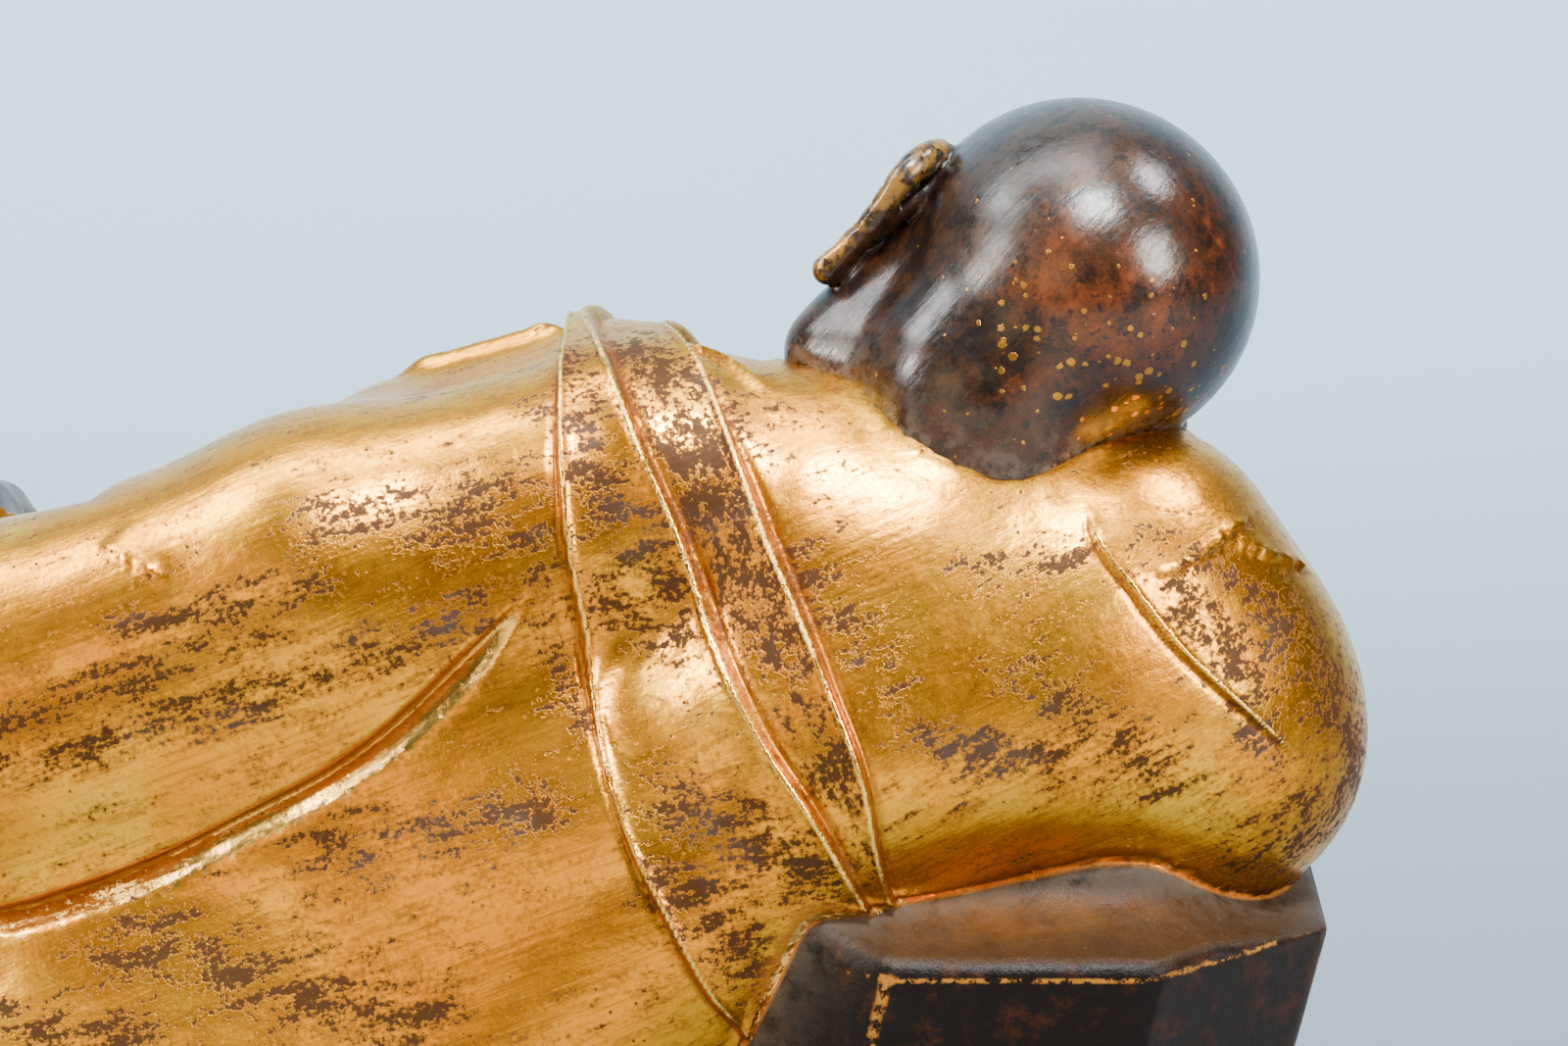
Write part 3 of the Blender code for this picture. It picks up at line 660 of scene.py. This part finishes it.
patina.set(
    Base_Color=tone, Metallic=grain.most(ear_gold) * 0.85, Specular_IOR_Level=0.5,
    Roughness=0.21 + nape * 0.4 + grey_sheen_here * 0.14 + (speckle - 0.5) * 0.25 + hair * 0.06,
    Normal=patina.bump(
        speckle * 0.6 + hair * 0.6 + grain * 0.4, 0.0002, 0.38, patina.bump(patina.noise(60, 3), 0.0009, 0.3)
    ),
)
patina.dress(head)
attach(head, "root")
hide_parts("sleeping_arhat")

# The hand under the cheek, the hand on the knee and the bare feet are part of the same casting. They
# are ungilded like the head, with the same dark patina, plainer because little of them is seen.
LIMB_GRID = 0.0009


def skin_masses():
    """The bare forearm, the palms, and the feet up to the toes."""
    return [
        Limb(at(-95, -45, 121), at(-85, -37, 140), 10.5, 8.5),
        Limb(at(-85, -37, 140), at(-80, -28, 153), 8.5, 9.5),
        Limb(at(-84, -32, 148), at(-86, -27, 157), 8, 7),
        Limb(at(88, -38, 132), at(93, -56, 138), 9.5, 8),
        Ball(at(94, -62, 137), (10.5, 8, 6.5)),
        Limb(at(94, -46, 26), at(97, -68, 22), 11, 8.5),
        Limb(at(36, -68, 27), at(68, -72, 22.5), 11, 8),
    ]


def digit_masses():
    """Fingers and toes, each bent once."""
    digits = [
        (at(-83, -36, 144), at(-75, -34, 151), at(-66.5, -24.5, 156.5), 4.4, 3.4, 2.8),
        (at(88, -56, 138), at(83.5, -66, 133), at(83.5, -69.5, 125), 4.0, 3.2, 2.6),
    ]
    for finger in range(4):
        spread = finger - 1.5
        digits.append((
            at(-84 + 3.2 * spread, -30 + 1.0 * spread, 154 + 1.2 * spread),
            at(-85 + 4.0 * spread, -28.5 - 0.6 * spread, 162.5 + 1.4 * spread),
            at(-85 + 3.8 * spread, -24 - 1.0 * spread, 170.5 + 1.5 * spread), 3.9, 3.1, 2.4,
        ))
        length = 17 - 1.3 * abs(finger - 1.3)
        digits.append((
            at(89 + 3.4 * finger, -65, 138), at(95.5 + 5.1 * spread, -71.5, 132.5),
            at(95 + 5.3 * spread, -72.5, 132 - length), 3.9, 3.1, 2.4,
        ))
    for toe in range(5):
        size = 4.4 if toe == 0 else 3.4 - 0.2 * toe
        digits.append((
            at(91 + 3.2 * toe, -66, 21), at(89.5 + 4.0 * toe, -77 + 0.6 * toe**1.5, 19.5),
            at(89 + 4.3 * toe, -83.5 + 0.8 * toe**1.5, 17), size + 0.6, size, size - 0.5,
        ))
        digits.append((
            at(66, -68 - 2.2 * toe, 23), at(78 - 0.6 * toe**1.5, -62.5 - 4.2 * toe, 20),
            at(84.5 - 0.8 * toe**1.5, -62 - 4.4 * toe, 17.5), size + 0.6, size, size - 0.5,
        ))
    masses = []
    for root, bend, tip, thick, middle, thin in digits:
        masses.append(Limb(root, bend, thick, middle))
        masses.append(Limb(bend, tip, middle, thin))
    return masses


def skin_form(points):
    return fuse(field(skin_masses(), points, 3), field(digit_masses(), points, 0.7), 1.5 * UNIT)


limb_masses = skin_masses() + digit_masses()
limbs, places, _ = cast("dark_hands_and_feet", skin_form, limb_masses, LIMB_GRID)
note(limbs.data, "by_robe", np.exp(-np.maximum(robe_form(places), 0) / 0.002))

skin = Finish("dark_skin_patina")
speckle = skin.noise(330, 4, 0.65)
tone = skin.mix(skin.noise(85, 5, 0.65).ramp(0.38, 0.64), (0.012, 0.006, 0.004), (0.060, 0.024, 0.010))
grain = skin.noise(900, 3, 0.6, offset=(7, 1, 3)).ramp(0.66, 0.69)
tone = skin.mix(speckle.ramp(0.60, 0.66) * 0.8, tone, (0.008, 0.005, 0.004))
tone = skin.mix(grain, tone, (0.52, 0.26, 0.04))
tone = skin.mix(skin.kept("by_robe").ramp(0.5, 0.95) * 0.6, tone, (0.35, 0.16, 0.04))
skin.set(
    Base_Color=tone, Metallic=grain * 0.85, Roughness=0.32 + (speckle - 0.5) * 0.3,
    Normal=skin.bump(speckle, 0.00015, 0.5),
)
skin.dress(limbs)
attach(limbs, "root")
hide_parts("sleeping_arhat")

# The robe is the same bronze, cast with its folds and then chased, and fire-gilt all over. The gilding
# is rubbed through in fine strokes to brown bronze. The chased edges are burnished paler with a painted
# highlight over them, and the hollows beside them hold painted shade with a warm reflection.
SASH_STEP = 0.0019
HEM_STEP = 0.0014
GOUGE_DEPTH = 0.0026
FOLD_DEPTH = 0.0019
CREASE_DEPTH = 0.0011
ROBE_GRID = 0.0020
RIM_WIDTH = 0.0007


def statue_form(points):
    robe = robe_form(points)
    skin = np.minimum(head_form(points), skin_form(points))
    return np.minimum(fuse(robe, skin, 0.8 * UNIT), rock_form(points, robe))


class Line:
    """A line of carving over the figure, through places near its surface."""

    def __init__(self, *places, height=FOLD_DEPTH, width=3.0, fade=0.12):
        drawn, _ = draw_onto(statue_form, smooth_path([at(*place) for place in places]), rounds=4)
        self.path = drawn
        self.height = height
        self.width = width * UNIT
        self.fade = fade

    def profile(self, side):
        """A soft hollow, or a ridge where the height is above zero."""
        shape = np.exp(-np.abs(side) ** 1.5)
        nothing = np.zeros(len(side))
        return (shape, nothing, shape) if self.height < 0 else (shape, 0.3 * shape, nothing)

    def relief(self, points, out):
        """How far the carving raises each point, and how much ridge and hollow it makes there."""
        result = np.zeros((3, len(points)))
        reach = 3.2 * self.width
        low, high = self.path.min(axis=0) - reach, self.path.max(axis=0) + reach
        near = np.flatnonzero(np.all((points > low) & (points < high), axis=1))
        if not len(near):
            return result
        best = np.full(len(near), np.inf)
        side = np.zeros(len(near))
        along = np.zeros(len(near))
        count = len(self.path) - 1
        for i, (start, end) in enumerate(zip(self.path, self.path[1:])):
            way = end - start
            offset = points[near] - start
            share = np.clip(offset @ way / (way @ way), 0, 1)
            offset = offset - share[:, None] * way
            gap = np.linalg.norm(offset, axis=1)
            closer = gap < best
            turn = (np.cross(out[near], way) * offset).sum(axis=1)
            best[closer] = gap[closer]
            side[closer] = (np.sign(turn) * gap)[closer]
            along[closer] = (i + share[closer]) / count
        fade = np.ones(len(near))
        if self.fade:
            fade = ramp(0, self.fade, along) * ramp(0, self.fade, 1 - along)
        shape, ridge, hollow = self.profile(side / (self.width * (0.3 + 0.7 * fade)))
        fade = fade * (best < reach)
        result[0, near] = self.height * fade * shape
        result[1, near] = np.minimum(fade * 2, 1) * ridge
        result[2, near] = np.minimum(fade * 2, 1) * hollow
        return result


class Edge(Line):
    """The edge of a layer of cloth, which stands up on the left of the line's own way."""

    def profile(self, side):
        lip = np.exp(-(((side - 0.09) / 0.075) ** 2))
        foot = np.exp(-(((side + 0.13) / 0.11) ** 2))
        step = ramp(-0.13, 0.07, side) * np.exp(-np.maximum(side, 0) * 0.9)
        return step + 0.22 * lip - 0.2 * foot, lip, 0.8 * foot


class Cut(Line):
    """A sickle-shaped cut, steep on the right of the line's own way and a broad facet on its left."""

    def profile(self, side):
        shape = np.where(side < 0, ramp(-0.4, 0, side), np.clip(1 - side, 0, 1))
        facet = ramp(0.0, 0.12, side) * ramp(1.02, 0.96, side)
        wall = ramp(-0.42, -0.2, side) * ramp(0.1, 0.02, side)
        return shape, facet, wall


def around(centre, way, radius):
    """A ring of places round a limb, in layout millimetres."""
    way = unit(way)
    across = unit(np.cross(way, (0, 0, 1) if abs(way[2]) < 0.9 else (1, 0, 0)))
    other = np.cross(way, across)
    turns = np.linspace(0, 2 * math.pi, 9)
    return [np.array(centre) + radius * (math.cos(t) * across + math.sin(t) * other) for t in turns]


def carving():
    """Every line of the robe's carving."""
    band_left = Edge(
        (-42, -36, 76), (-36, -33, 92), (-26, -31, 112), (-16, -28, 134), (-8, -20, 156), (-5, -14, 172),
        (-4, -8, 178), (-3.5, 5.5, 178), (-3.5, 16.5, 173), (-4, 25, 161.5), (-4.5, 25.5, 156.5),
        (-6, 24, 144.5), (-9, 30.5, 132), (-13, 39, 119.5), (-18.5, 42, 108), (-23.5, 40.5, 97.5),
        (-29, 35.5, 88.5), (-38, 32, 70), height=SASH_STEP, width=5,
    )
    band_middle = Edge(
        (-50, 30, 100), (-45, 35.5, 109), (-38.5, 40, 122.5), (-31.5, 38.5, 133.5), (-25.5, 31, 145),
        (-21, 25.5, 156.5), (-15, 22, 169), (-10.5, 11, 177.5), (-7, -6, 180), (-9, -12, 174),
        (-16, -20, 158), (-27, -27, 138), (-38, -30, 118), (-48, -30, 102), height=SASH_STEP, width=6,
    )
    band_right = Edge(
        (-54, 28, 102), (-48.5, 34.5, 110), (-45, 39, 128), (-41, 37, 138.5), (-37.5, 33, 147),
        (-33, 27.5, 157), (-26, 18, 171.5), (-19.5, 2.5, 179), (-18, -8, 176), (-26, -18, 160),
        (-38, -25, 143), (-48, -26, 124), (-54, -24, 108), height=SASH_STEP, width=6,
    )
    neckline = Edge(
        (-36, -5, 176), (-38, -16, 164), (-42, -24, 146), (-54, -24, 142), (-68, -18, 148), (-80, -12, 158),
        height=HEM_STEP, width=4,
    )
    sleeve_cut = Cut(
        (-1, 26, 152), (9, 26, 141.5), (19.5, 28.5, 131.5), (29, 29, 124.5), (40.5, 28, 118),
        (50.5, 26, 112.5), (61.5, 26, 107.5), (75.5, 25, 103), (90, 18, 100),
        height=-GOUGE_DEPTH, width=3.6, fade=0.16,
    )
    shoulder_edge = Edge(
        (-75.5, 21.5, 161.5), (-77.5, 26, 156), (-81.5, 28, 151), (-88, 29, 143), (-98, 27.5, 133),
        (-108, 23.5, 123), height=0.6 * SASH_STEP, width=4, fade=0.2,
    )
    far_rim = Line(
        (22, -13, 166), (12, -11, 174), (4, -10, 177), (-5, -9, 178),
        height=1.2 * SASH_STEP, width=2, fade=0.2,
    )
    lines = [band_left, band_middle, band_right, neckline, sleeve_cut, shoulder_edge, far_rim]
    creases = (
        ((-18, 2.5, 179.5), (-24, 4, 178), (-29, 9, 176), (-33, 13, 173.5)),
        ((61.5, 18.5, 154.5), (56, 22, 153), (50, 25.5, 150.5)),
        ((-81.5, 28, 151.5), (-91.5, 23, 154), (-100.5, 10.5, 157.5)),
        ((-94, 20.5, 156), (-103, 14.5, 151.5), (-110, 5.5, 146)),
    )
    for places in creases:
        lines.append(Edge(*places, height=CREASE_DEPTH, width=2.4, fade=0.3))
    hollows = (
        ((34, 44, 84), (40, 46, 60), (44, 46, 44), (40, 50, 22)),
        ((62, 38, 84), (70, 38, 60), (76, 38, 26)),
        ((-6, 44, 84), (2, 46, 64), (6, 48, 36), (2, 52, 20)),
        ((92, 14, 112), (102, 8, 66), (104, 10, 26)),
        ((96, -20, 116), (106, -22, 70), (108, -20, 30)),
        ((80, -42, 120), (52, -36, 96), (28, -34, 84)),
        ((82, -42, 104), (56, -42, 78), (30, -44, 66)),
        ((80, -46, 86), (58, -50, 60), (38, -58, 50)),
        ((78, -60, 112), (80, -66, 70), (78, -64, 36)),
        ((92, -70, 112), (96, -74, 70), (96, -74, 38)),
        ((-34, -36, 92), (-8, -38, 76), (16, -36, 72)),
        ((-34, -44, 76), (-6, -50, 62), (22, -50, 60)),
        ((-40, -74, 44), (-10, -84, 40), (24, -84, 34)),
        ((-36, -62, 56), (-6, -72, 50), (30, -74, 42)),
        ((-20, -34, 112), (10, -38, 100), (40, -32, 98)),
        ((-28, -38, 96), (4, -44, 86), (36, -42, 86)),
        ((-8, -28, 134), (16, -32, 120), (42, -26, 112)),
        ((2, -14, 158), (34, -16, 142), (62, -16, 134)),
        ((8, -14, 146), (40, -22, 128), (70, -34, 118)),
        ((76, -30, 150), (70, -8, 152), (58, 10, 152)),
        ((-76, -18, 150), (-92, -28, 142), (-106, -38, 132)),
        ((-66, -22, 130), (-84, -36, 118), (-96, -56, 112)),
    )
    for index, places in enumerate(hollows):
        depth = FOLD_DEPTH * (1 + 0.15 * (index % 3 - 1))
        lines.append(Line(*places, height=-depth, width=3.6 + 0.5 * (index % 2), fade=0.3))
    lines.append(Edge(
        (-44, -60, 62), (-20, -62, 62), (8, -52, 66), (34, -50, 74), (58, -54, 92), (72, -60, 112),
        (80, -62, 124), height=HEM_STEP, width=5,
    ))
    cuffs = (
        ((-90, -42, 131), (13, 13, 23), 12),
        ((91, -44, 134), (5, -18, 6), 13),
        ((34, -67, 28), (34, -4, -4), 15),
        ((94, -52, 30), (1, -4, -12), 18),
    )
    for centre, way, radius in cuffs:
        lines.append(Edge(*around(centre, way, radius), height=HEM_STEP, width=3.5, fade=0))
    return lines


def robe_rims(points, out):
    """The robe's thin raised edges where it meets the rock and the neck."""
    to_rock = rock_form(points, np.zeros(len(points)))
    to_head = head_form(points)
    rim = 0.0007 * np.exp(-(((to_rock - 0.0012) / RIM_WIDTH) ** 2))
    return rim + 0.0006 * np.exp(-(((to_head - 0.001) / RIM_WIDTH) ** 2))


def side_of(path, level, share, behind):
    """Which of the values lie beyond a line of the carving, taken on the back or the front alone."""
    mine = path[(path[:, 1] > 0) == behind]
    mine = mine[np.argsort(mine[:, level])]
    return np.interp(places[:, level], mine[:, level], mine[:, share])


def soft(amount):
    """A millimetre-wide step from 0 to 1."""
    return ramp(-0.0006, 0.0006, amount)


def strokes(finish, degrees, scale, length, offset):
    """Noise drawn out along one way, the way leaning down from +X by the degrees."""
    return finish.noise(scale, 5, 0.72, finish.turned((0, degrees, 0), (length, 1.3, 1)), offset)


def robe_above_floor(points):
    """The robe's form, ended inside the low base."""
    return np.maximum(robe_form(points), FLOOR_GAP - points[:, 2])


carved = carving()
seen_paths = [line.path for line in carved[:7]]
robe, places, _ = cast(
    "gilt_robe", robe_above_floor, robe_masses(), ROBE_GRID,
    fine=[([line.path for line in carved], 0.004), (seen_paths, 0.0025)],
    carving=carved, shape=robe_rims, cells=FILL_CELL,
)
behind = places[:, 1] > at(0, 0, 0)[1]
left_of = []
for line in carved[:3]:
    back_x = side_of(line.path, 2, 0, True)
    front_x = side_of(line.path, 2, 0, False)
    left_of.append(soft(np.where(behind, back_x, front_x) - places[:, 0]))
above_gouge = soft(places[:, 2] - side_of(carved[4].path, 0, 2, True))
note(robe.data, "band_a", left_of[0] * (1 - left_of[1]))
note(robe.data, "band_b", left_of[1] * (1 - left_of[2]))
note(robe.data, "back", left_of[2])
note(robe.data, "sleeve", (1 - left_of[0]) * above_gouge)
worn_patches = (
    ((32, 27, 159), (0, 23, 166), 4), ((57, 27, 145), (28, 30, 153), 3.5),
    ((73, 29, 131), (39, 30, 144), 5), ((22, 30, 142), (0, 26, 152), 4),
    ((66, 29, 128), (29, 30, 139), 4), ((15, 25, 161), (-3, 26, 156), 4),
    ((-5, 10, 177), (-8, 22, 168), 5), ((-8, 23, 166), (-20, 26, 151), 5),
    ((-7, 25, 150), (-20, 28, 143), 4), ((-20, 39, 123), (-40, 39, 114), 6),
    ((-21, 41, 113), (-33, 38, 99), 6), ((-13, 9, 179), (-28, 17, 172), 7),
    ((-20, 21, 170), (-33, 33, 147), 8), ((-30, 29, 152), (-41, 40, 128), 4),
    ((-37, 30, 154), (-48, 36, 141), 5), ((-58, 30, 154), (-76, 26, 156), 3),
    ((-70, 33, 140), (-85, 31, 125), 6), ((-52, 37, 133), (-72, 34, 128), 4),
    ((-90, 26, 151), (-101, 27, 130), 5), ((-101, 22, 144), (-115, 15, 124), 9),
    ((-101, 25, 112), (-115, 16, 120), 8), ((-85, 25, 156), (-107, 18, 143), 4),
    ((0, 25, 146), (-7, 30, 132), 3), ((57, 32, 101), (17, 41, 93), 8),
    ((29, 31, 114), (-2, 35, 122), 5), ((75, 34, 90), (54, 38, 89), 5),
    ((84, -10, 150), (60, -20, 132), 6), ((96, -60, 100), (96, -60, 60), 8),
    ((-20, -70, 50), (20, -76, 36), 8), ((20, -40, 98), (-20, -36, 92), 8),
    ((-40, -28, 120), (-20, -32, 130), 7), ((60, 40, 40), (20, 50, 30), 10),
    ((90, 10, 60), (98, -10, 40), 9),
)
note(robe.data, "worn", patch(places, worn_patches))
to_rock = rock_form(places, np.zeros(len(places)))
note(robe.data, "by_rock", np.exp(-np.maximum(to_rock, 0) / GILT_REACH))
note(robe.data, "by_head", np.exp(-np.maximum(head_form(places), 0) / GILT_REACH))
neck_z = side_of(carved[3].path, 0, 2, False)
chest = soft(places[:, 2] - neck_z) * soft(at(-36, 0, 0)[0] - places[:, 0])
chest = chest * soft(places[:, 0] - at(-80, 0, 0)[0])
note(robe.data, "bare_chest", chest * (1 - behind))

GOLD = (0.88, 0.335, 0.010)
PALE_GOLD = (0.94, 0.45, 0.022)
DEEP_GOLD = (0.80, 0.29, 0.007)
BROWN = (0.026, 0.010, 0.005)
SLATE = (0.036, 0.025, 0.024)
RED_BROWN = (0.22, 0.07, 0.015)

gilding = Finish("worn_gilding")
ridge = gilding.kept("ridge")
hollow = gilding.kept("hollow")
worn = gilding.kept("worn")
fine = gilding.noise(1300, 3, 0.6)
rub = strokes(gilding, 14, 480, 3.5, (0, 0, 0))
for zone, degrees, scale, length in (
    ("sleeve", 19, 520, 5.0), ("band_a", 8, 560, 3.5), ("band_b", -62, 560, 2.8), ("back", 27, 500, 4.5),
):
    here = gilding.kept(zone)
    rub = rub * (1 - here) + strokes(gilding, degrees, scale, length, (length, 0.3, scale * 0.01)) * here
wear = worn * 0.21 + (gilding.noise(130, 5, 0.75) - 0.5) * 0.36 + (rub - 0.5) + (fine - 0.5) * 0.7
wear = wear + gilding.kept("band_b") * 0.045 + gilding.kept("band_a") * 0.02
bare = wear.ramp(0.13, 0.25)
thin = wear.ramp(-0.05, 0.18)
pits = gilding.make("ShaderNodeTexVoronoi", {}, {"Vector": gilding.place, "Scale": 560.0}, "Distance")
pit = (1 - pits.ramp(0.10, 0.2)) * gilding.noise(110, 2).ramp(0.50, 0.62)
bare = bare.most(pit * 0.95)
near_rock = gilding.kept("by_rock")
hairline = gilding.noise(1500, 2, 0.5, gilding.turned((0, 22, 0), (22, 1.5, 1)))
tone = gilding.mix(gilding.noise(46, 3).ramp(0.42, 0.62), GOLD, PALE_GOLD)
deep = (gilding.noise(18, 2, offset=(3, 1, 2)) - gilding.kept("back") * 0.04).ramp(0.46, 0.62)
tone = gilding.mix(deep * 0.5, tone, DEEP_GOLD)
tone = gilding.mix(hairline.ramp(0.50, 0.72) * 0.4, tone, RED_BROWN)
tone = gilding.mix(thin * 0.65, tone, (0.33, 0.12, 0.012))
dark = gilding.mix(gilding.noise(50, 3, offset=(5, 0, 1)).ramp(0.52, 0.66), BROWN, SLATE)
tone = gilding.mix(bare * 0.95, tone, dark)
# Painted shade with a warm reflection in the carved hollows: the foot of each edge and the walls of the
# cuts.
tone = gilding.mix(hollow * 0.85, tone, (0.20, 0.055, 0.010))
# Paler burnished gold along the chased ridges, with a painted highlight over it.
burnish_and_highlight = ridge.ramp(0.4, 0.85) * (1 - fine.ramp(0.58, 0.66))
tone = gilding.mix(burnish_and_highlight, tone, (0.98, 0.58, 0.12))
tone = gilding.mix(near_rock.ramp(0.08, 0.5) * 0.75, tone, (0.42, 0.13, 0.015))
tone = gilding.mix(near_rock.ramp(0.5, 0.7) * rub.ramp(0.35, 0.5), tone, (0.98, 0.52, 0.13))
skin_here = gilding.kept("bare_chest").most(gilding.kept("by_head").ramp(0.75, 0.95))
tone = gilding.mix(skin_here, tone, (0.05, 0.024, 0.014))
rough = 0.24 + hairline * 0.1 + (fine - 0.5) * 0.16 + bare * 0.22 - burnish_and_highlight * 0.1 + hollow * 0.12
gilding.set(
    Base_Color=tone, Metallic=1 - bare * 0.6 - skin_here * 0.4, Roughness=rough, Specular_IOR_Level=0.15,
    Normal=gilding.bump(
        hairline * 0.35 + fine * 0.35 - bare * 0.3, 0.0002, 0.6,
        gilding.bump(gilding.noise(70, 3), 0.0012, 0.35),
    ),
)
gilding.dress(robe)
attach(robe, "root")
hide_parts("sleeping_arhat")

# The studio is a floor that runs up into the backdrop in one sweep, pale far off and darkened with
# painted shade near the figure, lit by soft lamps from above, the left and the right. It is there for the
# picture only.
bm = bmesh.new()
profile = [(y, 0.0) for y in (1.4, 0.4, -0.9)]
profile += [(-0.9 - 0.5 * math.sin(t), 0.5 - 0.5 * math.cos(t)) for t in np.linspace(0.1, math.pi / 2, 12)]
profile.append((-1.4, 2.4))
rows = [[bm.verts.new((x, y, z)) for x in (-3, 3)] for y, z in profile]
for low, high in zip(rows, rows[1:]):
    bm.faces.new((low[0], high[0], high[1], low[1]))
mesh = bpy.data.meshes.new("studio_sweep")
bm.to_mesh(mesh)
bm.free()
mesh.shade_smooth()
sweep = bpy.data.objects.new("studio_sweep", mesh)
bpy.context.scene.collection.objects.link(sweep)
pale = Finish("studio_sweep_painted_shade")
# The sweep's colour holds painted shade: dark blue-grey near the figure, paling to blue far off, and a dim
# warm grey toward the camera.
away = pale.make("ShaderNodeSeparateXYZ", {}, {0: pale.place}, 1) * -1
tone = pale.mix(away.ramp(0.1, 1.0), (0.13, 0.175, 0.215), (0.48, 0.67, 0.78))
tone = pale.mix(away.ramp(-0.12, -0.35), tone, (0.36, 0.33, 0.29))
pale.set(Base_Color=tone, Roughness=0.95)
pale.dress(sweep)


def softbox(name, place, aim, size, power, colour=(1, 1, 1)):
    lamp = bpy.data.lights.new(name, "AREA")
    lamp.shape = "RECTANGLE"
    lamp.size, lamp.size_y = size
    lamp.energy = power
    lamp.color = colour
    obj = bpy.data.objects.new(name, lamp)
    obj.location = place
    obj.rotation_euler = (Vector(aim) - Vector(place)).to_track_quat("-Z", "Y").to_euler()
    bpy.context.scene.collection.objects.link(obj)


softbox("key_box", (-0.09, 0.50, 1.13), (-0.05, 0.02, 0.15), (0.32, 0.26), 32)
softbox("top_box", (0.05, -0.25, 1.2), (0, 0, 0.13), (0.7, 0.4), 3)
softbox("shoulder_box", (-0.66, -0.10, 1.08), (-0.09, 0.02, 0.16), (0.28, 0.22), 8)
softbox("sleeve_box", (0.85, 0.03, 1.0), (0.04, 0.02, 0.16), (0.4, 0.3), 9)
softbox("fill_box", (0.75, 1.35, 0.5), (0, 0, 0.1), (0.9, 0.6), 3.5, (1.0, 0.80, 0.48))
softbox("left_box", (1.15, 0.38, 0.6), (-0.05, 0, 0.17), (0.16, 0.42), 13, (1.0, 0.95, 0.88))
softbox("right_box", (-0.95, 0.8, 0.66), (-0.05, 0, 0.17), (0.38, 0.56), 26, (1.0, 0.95, 0.88))
softbox("backdrop_box", (0.6, -0.2, 1.7), (0.3, -1.3, 0.9), (1.6, 0.5), 44, (0.9, 0.97, 1.0))
world = bpy.data.worlds.new("studio_air")
world.use_nodes = True
world.node_tree.nodes["Background"].inputs[0].default_value = (0.8, 0.86, 0.9, 1)
world.node_tree.nodes["Background"].inputs[1].default_value = 0.13
bpy.context.scene.world = world

# The camera looks down a little at the figure's back
CAMERA_PITCH = math.radians(15)
CAMERA_DISTANCE = 0.62
CAMERA_AIM = Vector((-0.0344, 0.022, 0.1555))
camera_data = bpy.data.cameras.new("camera")
camera_data.sensor_width = 36
camera_data.lens = 101.4
camera_data.clip_start = 0.01
camera = bpy.data.objects.new("camera", camera_data)
away = Vector((0, math.cos(CAMERA_PITCH), math.sin(CAMERA_PITCH)))
camera.location = CAMERA_AIM + CAMERA_DISTANCE * away
camera.rotation_euler = (-away).to_track_quat("-Z", "Y").to_euler()
bpy.context.scene.collection.objects.link(camera)
bpy.context.scene.camera = camera
